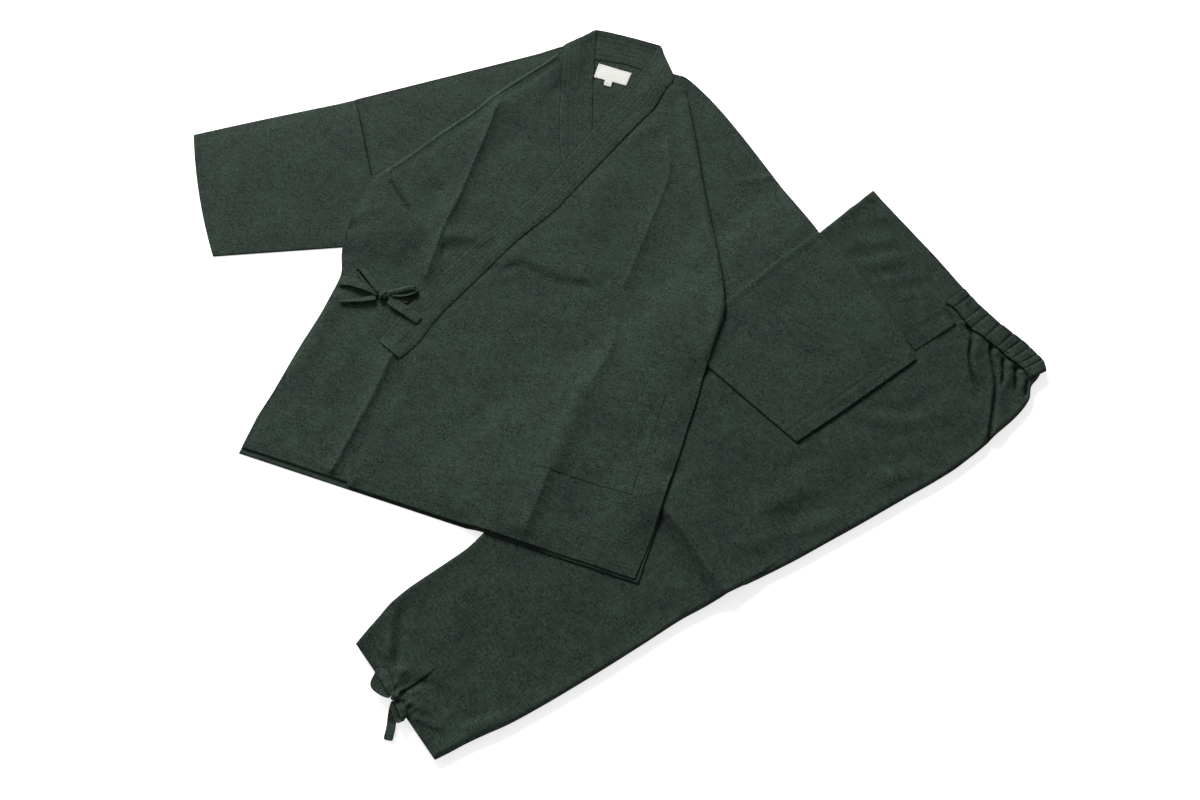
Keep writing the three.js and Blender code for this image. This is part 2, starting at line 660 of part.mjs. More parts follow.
// A sleeve from the armhole seam to the cuff, its upper edge and cuff slightly bowed.
function sleeveLattice({ side, cuffTop, cuffFoot, topBow, cuffBow }) {
  const run = [armhole.foot[0] - armhole.top[0], armhole.foot[1] - armhole.top[1]];
  const length = Math.hypot(...run);
  const outwards = [-run[1] / length * seamGap, run[0] / length * seamGap];
  const start = [armhole.top, armhole.foot].map((p) => p.map((value, k) => value + outwards[k]));
  const lattice = [];
  for (let r = 0; r <= sleeveCells.along; r += 1) {
    const t = r / sleeveCells.along;
    const row = [];
    for (let c = 0; c <= sleeveCells.across; c += 1) {
      const u = c / sleeveCells.across;
      const seam = mixPoint(start[0], start[1], u);
      const cuff = mixPoint(cuffTop, cuffFoot, u);
      const [down, across] = mixPoint(seam, cuff, t);
      const upper = 4 * t * (1 - t) * topBow * (1 - u);
      const end = 4 * u * (1 - u) * cuffBow * t;
      const bowed = [0, 1].map((k) => shoulderOut[k] * upper + cuffOut[k] * end);
      row.push(onJacket(down + bowed[0], side * (across + bowed[1])));
    }
    lattice.push(row);
  }
  return lattice;
}

// The front's cloth between the shoulder line and the fold, up to the armhole seam.
function shoulderLattice(side, bow) {
  const { rows, cols } = shoulderCells;
  const lattice = [];
  for (let r = 0; r <= rows; r += 1) {
    const round = bow * Math.sin(Math.PI * Math.sqrt(r / rows));
    const [down0, across0] = mixPoint(shoulderNeck.outer, armhole.top, r / rows);
    const outer = [down0 + shoulderOut[0] * round, across0 + shoulderOut[1] * round];
    const inner = mixPoint(shoulderNeck.inner, armholeEnd, r / rows);
    const row = [];
    for (let c = 0; c <= cols; c += 1) {
      const [down, across] = mixPoint(outer, inner, c / cols);
      row.push(onJacket(down, side * across));
    }
    lattice.push(row);
  }
  return lattice;
}

function frontPanel(name, rows, guides, counts, folds) {
  const garment = rows.map((row) => spread(row, guides, counts).map((across) => [row.down, across]));
  layCloth(name, onPlan(garment, onJacket), { lift: liftOf(garment, folds) });
}

function layJacket() {
  const back = stations(backRows, 'down', backStep.rows).map((down) => {
    const row = {
      right: column(backRows, 'down', down, 'right'),
      left: column(backRows, 'down', down, 'left'),
    };
    return spread(row, ['right', 'left'], [backStep.cols]).map((across) => onJacket(down, across));
  });
  layCloth('back', back);
  layCloth('neckband_back', band(backBandStations, onJacket, 3), { thickness: bandWall });
  layTube('sleeve_right', sleeveLattice(sleeves.right));
  layTube('sleeve_left', sleeveLattice(sleeves.left));
  layCloth('front_right_shoulder', shoulderLattice(-1, shoulderBow.right), { beside: ['sleeve_right'] });
  layCloth('front_left_shoulder', shoulderLattice(1, shoulderBow.left), { beside: ['sleeve_left'] });
  frontPanel('front_right', rightFrontRows, ['side', 'crease', 'band'], [6, 8], rightFrontFolds);
  layCloth('label', patch(labelCorners, onJacket, 2, 4), { thickness: labelWall, colour: creamWoven });
  layCloth('size_tab', patch(tabCorners, onJacket, 1, 2), { thickness: labelWall, colour: creamWoven });
  layCloth('neckband_right', band(rightBandStations, onJacket, 3), { thickness: bandWall });
  frontPanel('front_left', leftFrontRows, ['band', 'crease', 'side'], [10, 6], leftFrontFolds);
  layCloth('neckband_left', band(leftBandStations, onJacket, 3), { thickness: bandWall });
  layCloth('pocket', patch(pocketCorners, onJacket, 6, 6));
}

// ---------- ties ----------
// A knot: a round cushion of tape, highest in the middle.
function layKnot(name, axes, { at, long, wide, high }, beside) {
  const half = knotCells / 2;
  const lattice = [];
  const crown = [];
  for (let r = -half; r <= half; r += 1) {
    const row = [];
    const rise = [];
    for (let c = -half; c <= half; c += 1) {
      const square = Math.max(Math.abs(r), Math.abs(c)) / half;
      const round = Math.hypot(r, c) > 0 ? square * half / Math.hypot(r, c) : 0;
      row.push(axes(at[0] + (r / half) * round * long / 2, at[1] + (c / half) * round * wide / 2));
      rise.push(mix(tapeWall, high, Math.sqrt(1 - square ** 2)));
    }
    lattice.push(row);
    crown.push(rise);
  }
  const rest = restHeights(lattice, beside);
  const bottom = lattice.map((row, r) => row.map(([x, y], c) => [x, y, rest[r][c]]));
  const top = bottom.map((row, r) => row.map(([x, y, z], c) => [x, y, z + crown[r][c]]));
  remember(name, top);
  addMesh(name, [top, bottom], false);
}

// A loop of tape on its edge: a drop-shaped ring, narrow at the knot and round at its far end.
function layLoop(name, axes, { from, to, opening }, high) {
  const length = Math.hypot(to[0] - from[0], to[1] - from[1]);
  const ahead = [(to[0] - from[0]) / length, (to[1] - from[1]) / length];
  const outline = (shrink) => {
    const points = [];
    for (let k = 0; k < loopSteps; k += 1) {
      const turn = (k / loopSteps) * 2 * Math.PI;
      const along = length / 2 - (length / 2 - shrink) * Math.cos(turn);
      const widening = (1 - loopDrop * Math.cos(turn)) / (1 + loopDrop);
      const out = ((opening / 2) * widening - shrink) * Math.sin(turn);
      const p = [from[0] + ahead[0] * along - ahead[1] * out, from[1] + ahead[1] * along + ahead[0] * out];
      points.push(axes(...p));
    }
    return points;
  };
  const outside = outline(0);
  const inside = outline(tapeWall);
  const closed = [...outside, outside[0]].map((p, k) => [p, inside[k % loopSteps]]);
  const rest = restHeights(closed, []).map((pair) => Math.max(...pair));
  rest[0] = Math.max(rest[0], rest[loopSteps]);
  const ring = (points) => [high, 0].map((z) => points.map(([x, y], k) => [x, y, rest[k] + z]));
  remember(name, closed.map((pair, k) => pair.map(([x, y]) => [x, y, rest[k % loopSteps] + high])));
  addMesh(name, [ring(outside), ring(inside)], true);
}

// The tapes, loops and knot of one tie. Tapes end at the knot's rim, so nothing but the panels carries it.
function layTie(paths, loops, loopHeight, width, axes, knotName, knot) {
  Object.entries(paths).forEach(([name, { line, beside }]) => {
    layCloth(name, tape(line, axes, width, tapeSteps), { thickness: tapeWall, beside });
  });
  Object.entries(loops).forEach(([name, loop]) => layLoop(name, axes, loop, loopHeight));
  layKnot(knotName, axes, knot, [...Object.keys(paths), ...Object.keys(loops)]);
}

layTrousers();
layJacket();
layTie(tiePaths, tieLoops, tieLoopHeight, tieWidth, onJacket, 'tie_knot', tieKnot);
layTie(anklePaths, ankleLoops, ankleLoopHeight, ankleTieWidth, onTrousers, 'ankle_knot', ankleKnot);

export default samue;
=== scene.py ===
"""A samue laid flat: the folded trousers, the jacket spread over them and both of their ties.

Lengths are in millimetres on each garment's own axes while the cloth is laid, and in metres,
with +Z up, once a piece becomes a mesh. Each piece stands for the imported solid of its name.
"""

import logging
import math
from dataclasses import dataclass, field
from enum import Enum
from typing import Sequence

import bpy
import numpy as np
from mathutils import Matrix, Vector


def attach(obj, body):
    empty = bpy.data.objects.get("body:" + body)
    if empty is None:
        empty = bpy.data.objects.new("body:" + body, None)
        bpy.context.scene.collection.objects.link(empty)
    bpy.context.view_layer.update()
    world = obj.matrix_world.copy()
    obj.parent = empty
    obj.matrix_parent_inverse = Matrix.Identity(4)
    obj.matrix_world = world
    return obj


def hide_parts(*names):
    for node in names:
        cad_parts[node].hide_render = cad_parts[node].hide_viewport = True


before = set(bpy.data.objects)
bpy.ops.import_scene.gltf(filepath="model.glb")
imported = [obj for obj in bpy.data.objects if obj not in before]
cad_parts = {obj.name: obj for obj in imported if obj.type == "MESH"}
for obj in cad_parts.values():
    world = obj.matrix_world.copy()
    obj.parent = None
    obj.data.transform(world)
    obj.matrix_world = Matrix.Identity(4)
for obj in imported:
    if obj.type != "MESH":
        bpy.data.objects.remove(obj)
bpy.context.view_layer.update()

logging.basicConfig(level=logging.INFO, format="%(message)s")
LOG = logging.getLogger("samue")

Array = np.ndarray
Line = Sequence[tuple[float, float]]

METRES = 0.001
LAP = 0.25                    # air between a piece and what it lies on
LAP_GROWS = 0.6               # height of what is below over which that air comes in
EDGE_SHADE_WIDTH = 1.7            # how wide the painted shade along a free edge is
SPAN = 40.0                   # from its edge to where a panel spans what is below
THINNEST = 0.35               # least thickness of a layer
NARROWEST = 10.2              # least flat width that is declared for a tape
GRAIN_SHIFT = (137.0, 71.0)   # how far the weave is moved from one piece to the next
GRADED_SAMPLES = 2000
COTTON = "slub_cotton"
LABEL = "woven_label"


# ---------- plan: garment axes, tables and smooth lines ----------
@dataclass(frozen=True)
class Axes:
    """A garment's own axes on the floor: down (or along) it and across it."""

    x: float
    y: float
    heading: float

    def plan(self, down: Array, across: Array) -> Array:
        """Turns garment distances into floor points: origin + down * forward + across * leftward."""
        a = math.radians(self.heading)
        x = self.x + down * math.cos(a) - across * math.sin(a)
        y = self.y + down * math.sin(a) + across * math.cos(a)
        return np.stack([x, y], -1)


MIDDLE = (4.05, 68.73)     # middle of the whole layout, moved to the origin
JACKET = Axes(34.4 - MIDDLE[0], 565.7 - MIDDLE[1], -108.68)
TROUSERS = Axes(522.7 - MIDDLE[0], 169.7 - MIDDLE[1], -143.17)


def soft(at: Array, xs: Sequence[float], ys: Sequence[float]) -> Array:
    """Reads a table smoothly: a cubic through its points that never overshoots them.

    Args:
        at: where to read it; beyond the ends the end value holds.
        xs: the table's places, rising.
        ys: its values there.

    Returns:
        The values at `at`. Each inner slope is the harmonic mean of its neighbours' slopes.
    """
    xs, ys = np.asarray(xs, float), np.asarray(ys, float)
    if len(xs) == 2:
        return np.interp(at, xs, ys)
    step = np.diff(xs)
    slope = np.diff(ys) / step
    both = slope[:-1] * slope[1:]
    inner = np.where(both > 0, 2 * both / np.where(both > 0, slope[:-1] + slope[1:], 1), 0)
    tangent = np.concatenate([[slope[0]], inner, [slope[-1]]])
    k = np.clip(np.searchsorted(xs, at, side="right") - 1, 0, len(step) - 1)
    t = np.clip((at - xs[k]) / step[k], 0, 1)
    return ((2 * t**3 - 3 * t**2 + 1) * ys[k] + (t**3 - 2 * t**2 + t) * step[k] * tangent[k]
            + (3 * t**2 - 2 * t**3) * ys[k + 1] + (t**3 - t**2) * step[k] * tangent[k + 1])


def smoothstep(t: Array) -> Array:
    """A soft step from 0 to 1 as t goes from 0 to 1: 3 t^2 - 2 t^3."""
    t = np.clip(t, 0, 1)
    return t * t * (3 - 2 * t)


def raised(plan: Array, height: Array) -> Array:
    """Floor points with their heights: x, y, z."""
    return np.concatenate([plan, height[..., None]], -1)


def lapped(rest: Array, lap: float) -> Array:
    """Heights of rest with the gap to what is below, which comes in where that stands off the floor."""
    return rest + lap * smoothstep(rest / LAP_GROWS)


def walk(line: Line, step: float) -> Array:
    """Points a step apart along a smooth line through the given points.

    Args:
        line: the points, in order.
        step: the spacing of the result.

    Returns:
        An array of points, evenly spaced by length.
    """
    points = np.asarray(line, float)
    if len(points) > 2:
        ahead = np.arange(len(points))
        fine = np.linspace(0, len(points) - 1, 24 * len(points))
        points = np.stack([soft(fine, ahead, points[:, k]) for k in range(points.shape[1])], -1)
    length = np.concatenate([[0], np.cumsum(np.linalg.norm(np.diff(points, axis=0), axis=1))])
    count = max(2, int(round(length[-1] / step)) + 1)
    at = np.linspace(0, length[-1], count)
    return np.stack([np.interp(at, length, points[:, k]) for k in range(points.shape[1])], -1)


def graded(start: float, end: float, step: float, fine: Sequence[tuple[float, float, float]] = ()) -> Array:
    """Stations from start to end, closer together near chosen places.

    Args:
        start: first station.
        end: last station.
        step: the usual spacing.
        fine: (place, reach, spacing) for each place with closer stations.

    Returns:
        Rising stations. The density is the largest of 1 / spacing, integrated and cut evenly.
    """
    at = np.linspace(start, end, GRADED_SAMPLES)
    density = np.full_like(at, 1 / step)
    for place, reach, spacing in fine:
        near = np.exp(-((at - place) / reach) ** 2)
        density = np.maximum(density, 1 / step + near * (1 / spacing - 1 / step))
    total = np.concatenate([[0], np.cumsum((density[1:] + density[:-1]) / 2 * np.diff(at))])
    count = max(2, int(math.ceil(total[-1])) + 1)
    return np.interp(np.linspace(0, total[-1], count), total, at)


def nearest(down: Array, across: Array, line: Line) -> tuple[Array, Array]:
    """Distance from grid points to a line, and how far along the line its nearest point is.

    Args:
        down, across: the points, in garment axes.
        line: the line's corners, in the same axes.

    Returns:
        The distance and the length share 0 to 1. The distance is positive on the side of growing
        across for a line that runs down, and on the side of falling down for one that runs across.
    """
    points = walk(line, 4.0)
    best = np.full(down.shape, np.inf)
    signed = np.zeros(down.shape)
    share = np.zeros(down.shape)
    count = len(points) - 1
    for k, (a, b) in enumerate(zip(points[:-1], points[1:])):
        run = b - a
        t = np.clip(((down - a[0]) * run[0] + (across - a[1]) * run[1]) / (run @ run), 0, 1)
        dx, dy = down - a[0] - t * run[0], across - a[1] - t * run[1]
        far = np.hypot(dx, dy)
        side = np.sign(run[0] * dy - run[1] * dx)
        closer = far < best
        best = np.where(closer, far, best)
        signed = np.where(closer, far * np.where(side == 0, 1, side), signed)
        share = np.where(closer, (k + t) / count, share)
    return signed, share


class Waves:
    """Seeded smooth noise: sums of a few plane waves, so it is the same in every run."""

    def __init__(self, seed: int) -> None:
        """Starts the random draws from the seed."""
        self.random = np.random.default_rng(seed)

    def field(self, a: Array, b: Array, length: float, count: int = 14) -> Array:
        """Noise over two coordinates, about -1 to 1.

        Args:
            a, b: the coordinates.
            length: the waves' usual length.
            count: how many waves are summed.

        Returns:
            The mean of cosines with random directions, lengths and phases, scaled to unit spread.
        """
        turn = self.random.uniform(0, math.pi, count)
        size = length * self.random.uniform(0.7, 1.6, count)
        phase = self.random.uniform(0, 2 * math.pi, count)
        total = np.zeros_like(a, float)
        for t, s, p in zip(turn, size, phase):
            total += np.cos(2 * math.pi * (a * math.cos(t) + b * math.sin(t)) / s + p)
        return total / math.sqrt(count)


# ---------- what lies on what ----------
@dataclass(frozen=True)
class Bed:
    """What a piece lies on: the height map as its edges follow it and as its middle spans it."""

    close: Array
    wide: Array


class Ground:
    """Height map of everything laid so far, which each new piece rests on."""

    CELL = 2.0
    HALF = (690.0, 620.0)

    def __init__(self) -> None:
        """Starts with the bare floor."""
        cols, rows = (int(2 * h / self.CELL) for h in self.HALF)
        self.height = np.zeros((rows, cols))

    def _cells(self, x: Array, y: Array) -> tuple[Array, Array]:
        """Rows and columns, as fractions, of floor points."""
        return (y + self.HALF[1]) / self.CELL - 0.5, (x + self.HALF[0]) / self.CELL - 0.5

    def read(self, plan: Array, heights: Array | None = None) -> Array:
        """Heights at floor points, by bilinear reading of the map or of other heights on its cells."""
        heights = self.height if heights is None else heights
        r, c = self._cells(plan[..., 0], plan[..., 1])
        r = np.clip(r, 0, heights.shape[0] - 1.001)
        c = np.clip(c, 0, heights.shape[1] - 1.001)
        r0, c0 = r.astype(int), c.astype(int)
        fr, fc = r - r0, c - c0
        upper = heights[r0, c0] * (1 - fc) + heights[r0, c0 + 1] * fc
        lower = heights[r0 + 1, c0] * (1 - fc) + heights[r0 + 1, c0 + 1] * fc
        return upper * (1 - fr) + lower * fr

    def lay(self, grid: Array) -> None:
        """Adds the top of a piece, given as a grid of points, by filling its cells between the points."""
        span = max(np.abs(np.diff(grid[..., :2], axis=0)).max(), np.abs(np.diff(grid[..., :2], axis=1)).max())
        parts = int(np.clip(math.ceil(span / (0.7 * self.CELL)), 1, 14))
        a, b, c, d = grid[:-1, :-1], grid[1:, :-1], grid[:-1, 1:], grid[1:, 1:]
        for s in np.linspace(0, 1, parts + 1):
            for t in np.linspace(0, 1, parts + 1):
                p = (a * (1 - s) + b * s) * (1 - t) + (c * (1 - s) + d * s) * t
                r, k = self._cells(p[..., 0], p[..., 1])
                np.maximum.at(self.height, (np.rint(r).astype(int), np.rint(k).astype(int)), p[..., 2])

    def drape(self, stiff: float = 0.03, blur: float = 3.0) -> Array:
        """How a cloth would lie on what is there, on the map's cells.

        Args:
            stiff: how fast it falls away from an edge: height - stiff * distance^2.
            blur: spread of the final smoothing.

        Returns:
            The upper envelope of such parabolas over all cells, smoothed, never below the map.
        """
        lifted = self.height.copy()
        for axis in (0, 1):
            base = lifted.copy()
            for k in range(1, 13):
                drop = 0 if k == 1 else stiff * ((k - 1) * self.CELL) ** 2
                for way in (k, -k):
                    lifted = np.maximum(lifted, np.roll(base, way, axis) - drop)
        return np.maximum(self._blurred(lifted, blur), self._blurred(self.height, 0.8))

    def bed(self) -> Bed:
        """A bed that is followed closely everywhere."""
        close = self.drape()
        return Bed(close, close)

    def bridge(self, stiff: float = 0.0022, reach: float = 64.0, blur: float = 8.0) -> Bed:
        """How a wide panel lies over what is there.

        Args:
            stiff: how fast it falls away from what holds it up: height - stiff * distance^2.
            reach: how far that is followed.
            blur: spread of the final smoothing.

        Returns:
            The close drape and, for the middle, the upper envelope of such parabolas, smoothed.
        """
        rows, cols = (n // 2 for n in self.height.shape)
        lifted = self.height.reshape(rows, 2, cols, 2).max((1, 3))
        for axis in (0, 1):
            base = lifted.copy()
            for k in range(1, int(reach / (2 * self.CELL)) + 1):
                for way in (k, -k):
                    lifted = np.maximum(lifted, np.roll(base, way, axis) - stiff * (2 * k * self.CELL) ** 2)
        close = self.drape()
        return Bed(close, np.maximum(self._blurred(np.kron(lifted, np.ones((2, 2))), blur), close))

    def _blurred(self, values: Array, spread: float) -> Array:
        """Gaussian smoothing by way of the Fourier transform: each wave is damped by exp(-2 (pi s f)^2)."""
        rows = np.fft.fftfreq(values.shape[0], self.CELL)[:, None]
        cols = np.fft.rfftfreq(values.shape[1], self.CELL)[None, :]
        damp = np.exp(-2 * (math.pi * spread) ** 2 * (rows**2 + cols**2))
        return np.fft.irfft2(np.fft.rfft2(values) * damp, values.shape)


# ---------- meshes ----------
def placed(name: str, data: bpy.types.ID) -> bpy.types.Object:
    """Makes an object of some data, at the origin, and links it to the scene."""
    made = bpy.data.objects.new(name, data)
    bpy.context.scene.collection.objects.link(made)
    return made


def outward(rim: Array) -> Array:
    """Unit directions in plan pointing away from a closed rim of points, square to it."""
    along = np.roll(rim, -1, 0)[:, :2] - np.roll(rim, 1, 0)[:, :2]
    along /= np.maximum(np.linalg.norm(along, axis=1, keepdims=True), 1e-9)
    area = np.sum(rim[:, 0] * np.roll(rim[:, 1], -1) - np.roll(rim[:, 0], -1) * rim[:, 1])
    turn = 1 if area > 0 else -1
    return np.stack([along[:, 1] * turn, -along[:, 0] * turn, np.zeros(len(rim))], -1)


def grid_faces(ids: Array, wraps: bool = False) -> Array:
    """The quads of a grid of vertex numbers; wraps joins its last column to its first."""
    right = np.roll(ids, -1, 1) if wraps else ids[:, 1:]
    left = ids if wraps else ids[:, :-1]
    return np.stack([left[:-1], right[:-1], right[1:], left[1:]], -1).reshape(-1, 4)


def rim_of(grid: Array) -> Array:
    """The border of a grid, once round: first row, last column, last row back, first column back."""
    return np.concatenate([grid[0, :-1], grid[:-1, -1], grid[-1, :0:-1], grid[:0:-1, 0]])


@dataclass
class Solid:
    """A closed mesh being put together from grids of points, with a grain map and a painted shade mark."""

    points: list[Array] = field(default_factory=list)
    grains: list[Array] = field(default_factory=list)
    painted_shades: list[Array] = field(default_factory=list)
    quads: list[Array] = field(default_factory=list)
    count: int = 0

    def add(self, points: Array, grain: Array, painted_shade: Array) -> Array:
        """Adds points with their grain coordinates and painted shade, and gives their numbers in the same shape."""
        size = int(np.prod(points.shape[:-1]))
        ids = np.arange(self.count, self.count + size).reshape(points.shape[:-1])
        self.points.append(points.reshape(-1, 3))
        self.grains.append(grain.reshape(-1, 2))
        self.painted_shades.append(painted_shade.reshape(-1))
        self.count += size
        return ids

    def ring(self, previous: Array, points: Array, grain: Array, painted_shade: Array) -> Array:
        """Adds a closed ring of points, joins it to the ring before it and gives its numbers."""
        ids = self.add(points, grain, painted_shade)
        self.quads.append(grid_faces(np.stack([previous, ids]), wraps=True))
        return ids

    def close(self, previous: Array, upper: Array, lower: Array) -> None:
        """Joins the last ring to the lower grid's border, and fills the upper and the lower grid."""
        self.quads.append(grid_faces(np.stack([previous, rim_of(lower)]), wraps=True))
        self.quads.append(grid_faces(upper)[:, ::-1])
        self.quads.append(grid_faces(lower))

    def build(self, name: str, finish: bpy.types.Material) -> bpy.types.Object:
        """Makes the mesh object, in metres, its faces outward and smooth.

        Args:
            name: the object's name.
            finish: its material.

        Returns:
            The linked object, its place in its mesh.
        """
        points = np.concatenate(self.points)
        quads = np.concatenate(self.quads)
        a, b, c, d = (points[quads[:, k]] for k in range(4))
        volume = np.sum(np.einsum("ij,ij->i", a, np.cross(b, c)) + np.einsum("ij,ij->i", a, np.cross(c, d)))
        if volume < 0:
            quads = quads[:, ::-1]
        mesh = bpy.data.meshes.new(name)
        mesh.vertices.add(len(points))
        mesh.vertices.foreach_set("co", (points * METRES).ravel())
        mesh.loops.add(quads.size)
        mesh.loops.foreach_set("vertex_index", quads.ravel().astype(np.int32))
        mesh.polygons.add(len(quads))
        mesh.polygons.foreach_set("loop_start", np.arange(0, quads.size, 4, dtype=np.int32))
        mesh.polygons.foreach_set("use_smooth", np.ones(len(quads), bool))
        mesh.update(calc_edges=True)
        grain = mesh.uv_layers.new(name="grain")
        grain.data.foreach_set("uv", (np.concatenate(self.grains)[quads.ravel()] * METRES).ravel())
        # the painted shade and painted highlight, which the cloth's material reads
        painted_shade = mesh.attributes.new("painted_shade", "FLOAT", "POINT")
        painted_shade.data.foreach_set("value", np.concatenate(self.painted_shades).astype(np.float32))
        mesh.materials.append(finish)
        mesh.validate()
        return placed(name, mesh)


def cloth_solid(top: Array, bottom: Array, grain: Array, painted_shade: Array, bulge: float = 0.9) -> Solid:
    """One layer of cloth with a rounded edge all round.

    Args:
        top, bottom: grids of points with the same rows and columns.
        grain: grain coordinates on the same grid.
        painted_shade: painted shade and painted highlight on the same grid.
        bulge: how round the edge is; its rings run over half an ellipse outwards.

    Returns:
        The closed solid: top, rings at 50, 0 and -50 degrees round the rim, and bottom.
    """
    solid = Solid()
    upper = solid.add(top, grain, painted_shade)
    lower = solid.add(bottom, grain, painted_shade)
    above, below = rim_of(top), rim_of(bottom)
    centre = (above + below) / 2
    half = np.linalg.norm(above - below, axis=1)[:, None] / 2
    out = outward(centre)
    previous, edge_grain, edge_shade = rim_of(upper), rim_of(grain), rim_of(painted_shade)
    for angle in (50, 0, -50):
        a = math.radians(angle)
        ring = centre + out * half * math.cos(a) * bulge + (above - centre) * math.sin(a)
        previous = solid.ring(previous, ring, edge_grain, edge_shade)
    solid.close(previous, upper, lower)
    return solid


# ---------- finishes ----------
class Graph:
    """A material's node tree, with short calls to add and join nodes."""

    def __init__(self, name: str) -> None:
        """Starts a material with a Principled shader joined to its output."""
        self.material = bpy.data.materials.new(name)
        self.material.use_nodes = True
        self.nodes = self.material.node_tree.nodes
        self.links = self.material.node_tree.links
        self.shader = next(n for n in self.nodes if n.type == "BSDF_PRINCIPLED")

    def node(self, kind: str, inputs: dict | None = None, **settings: object) -> bpy.types.Node:
        """Adds a node: settings are its properties, inputs its sockets' values or the sockets joined to them."""
        made = self.nodes.new(kind)
        for key, value in settings.items():
            setattr(made, key, value)
        for key, value in (inputs or {}).items():
            if isinstance(value, bpy.types.NodeSocket):
                self.links.new(value, made.inputs[key])
            else:
                made.inputs[key].default_value = value
        return made

    def math(self, operation: str, a: object, b: object) -> bpy.types.NodeSocket:
        """One sum on two values or sockets."""
        return self.node("ShaderNodeMath", {0: a, 1: b}, operation=operation).outputs[0]

    def noise(self, coords: bpy.types.NodeSocket, scale: tuple[float, float], shift: float, detail: float = 2.0,
              roughness: float = 0.5) -> bpy.types.NodeSocket:
        """Noise on the grain map, with its own number of waves in each metre across and down."""
        placed = self.node("ShaderNodeMapping", {"Vector": coords, "Location": (shift, shift * 1.7, 0),
                                                 "Scale": (scale[0], scale[1], 1)})
        made = self.node("ShaderNodeTexNoise", {"Vector": placed.outputs[0], "Scale": 1.0, "Detail": detail,
                                                "Roughness": roughness}, noise_dimensions="2D")
        return made.outputs["Fac"]

    def ramp(self, value: object, low: float, high: float, bottom: float = 0.0,
             top: float = 1.0) -> bpy.types.NodeSocket:
        """Maps low to bottom and high to top, held beyond them."""
        made = self.node("ShaderNodeMapRange", {"Value": value, "From Min": low, "From Max": high, "To Min": bottom,
                                                "To Max": top})
        return made.outputs[0]

    def blend(self, share: object, a: object, b: object) -> bpy.types.NodeSocket:
        """Mixes two colours."""
        made = self.node("ShaderNodeMix", {"Factor": share}, data_type="RGBA")
        for socket, value in (("A", a), ("B", b)):
            slot = next(s for s in made.inputs if s.name == socket and s.type == "RGBA")
            if isinstance(value, bpy.types.NodeSocket):
                self.links.new(value, slot)
            else:
                slot.default_value = value
        return next(s for s in made.outputs if s.type == "RGBA")

    def set(self, **values: object) -> None:
        """Sets constants on the shader's own sockets, underscores standing for spaces."""
        for key, value in values.items():
            self.shader.inputs[key.replace("_", " ")].default_value = value


@dataclass(frozen=True)
class SlubCotton:
    """Yarn-dyed cotton with thick and thin yarns both ways: mottled grey and green with short dark slubs."""

    name: str = "slub_cotton"
    green: tuple[float, float, float, float] = (0.0285, 0.0455, 0.0322, 1.0)
    grey: tuple[float, float, float, float] = (0.0300, 0.0440, 0.0360, 1.0)
    dark: tuple[float, float, float, float] = (0.0070, 0.0110, 0.0090, 1.0)
    # brightness of the whole colour; the trousers' lower tone is painted shade
    tone: float = 1.05
    yarn: float = 0.0007           # pitch of the weave, in metres

    def material(self) -> bpy.types.Material:
        """Builds the node material on the grain map, where u runs across the cloth and v down it."""
        g = Graph(self.name)
        grain = g.node("ShaderNodeUVMap", uv_map="grain").outputs[0]
        patch = g.noise(grain, (16, 16), 3.1, 3.0)
        cloud = g.noise(grain, (55, 85), 7.7, 3.0, 0.6)
        weft = g.noise(grain, (60, 520), 1.3, 2.0, 0.6)
        warp = g.noise(grain, (560, 70), 5.9, 2.0, 0.6)
        weft_slub = g.noise(grain, (230, 640), 11.2, 1.0)
        warp_slub = g.noise(grain, (640, 240), 17.4, 1.0)
        crowd = g.noise(grain, (38, 38), 23.0, 2.0)
        base = g.blend(g.ramp(patch, 0.38, 0.62), self.grey, self.green)
        streak = g.math("ADD", g.ramp(weft, 0.3, 0.7, -0.25, 0.25), g.ramp(warp, 0.3, 0.7, -0.20, 0.20))
        shade = g.math("ADD", streak, g.ramp(cloud, 0.3, 0.7, -0.14, 0.14))
        shade = g.math("ADD", shade, g.ramp(patch, 0.3, 0.7, -0.08, 0.08))
        # painted shade and painted highlight from the mesh's mark, 0.3 of the colour for each unit
        painted_shade = g.node("ShaderNodeAttribute", attribute_name="painted_shade").outputs["Fac"]
        shade = g.math("ADD", g.math("ADD", shade, g.math("MULTIPLY", painted_shade, 0.3)), self.tone)
        toned = g.node("ShaderNodeVectorMath", {0: base}, operation="SCALE")
        g.links.new(shade, toned.inputs["Scale"])
        slubs = g.math("MAXIMUM", g.ramp(weft_slub, 0.60, 0.66), g.ramp(warp_slub, 0.62, 0.68))
        slubs = g.math("MULTIPLY", slubs, g.ramp(crowd, 0.35, 0.6, 0.45, 0.95))
        g.links.new(g.blend(slubs, toned.outputs[0], self.dark), g.shader.inputs["Base Color"])
        yarns = [g.node("ShaderNodeTexWave", {"Vector": grain, "Scale": math.tau / (20 * self.yarn),
                                              "Distortion": 1.2, "Detail": 1.0}, bands_direction=way).outputs["Fac"]
                 for way in ("X", "Y")]
        relief = g.math("ADD", g.math("MULTIPLY", g.math("ADD", *yarns), 0.10),
                        g.math("ADD", g.math("MULTIPLY", weft, 0.9), g.math("MULTIPLY", warp, 0.9)))
        bump = g.node("ShaderNodeBump", {"Strength": 0.42, "Distance": 0.0006, "Height": relief})
        g.links.new(bump.outputs[0], g.shader.inputs["Normal"])
        g.links.new(g.ramp(cloud, 0.3, 0.7, 0.84, 0.97), g.shader.inputs["Roughness"])
        g.set(Specular_IOR_Level=0.10, Sheen_Weight=0.03, Sheen_Roughness=0.6)
        return g.material


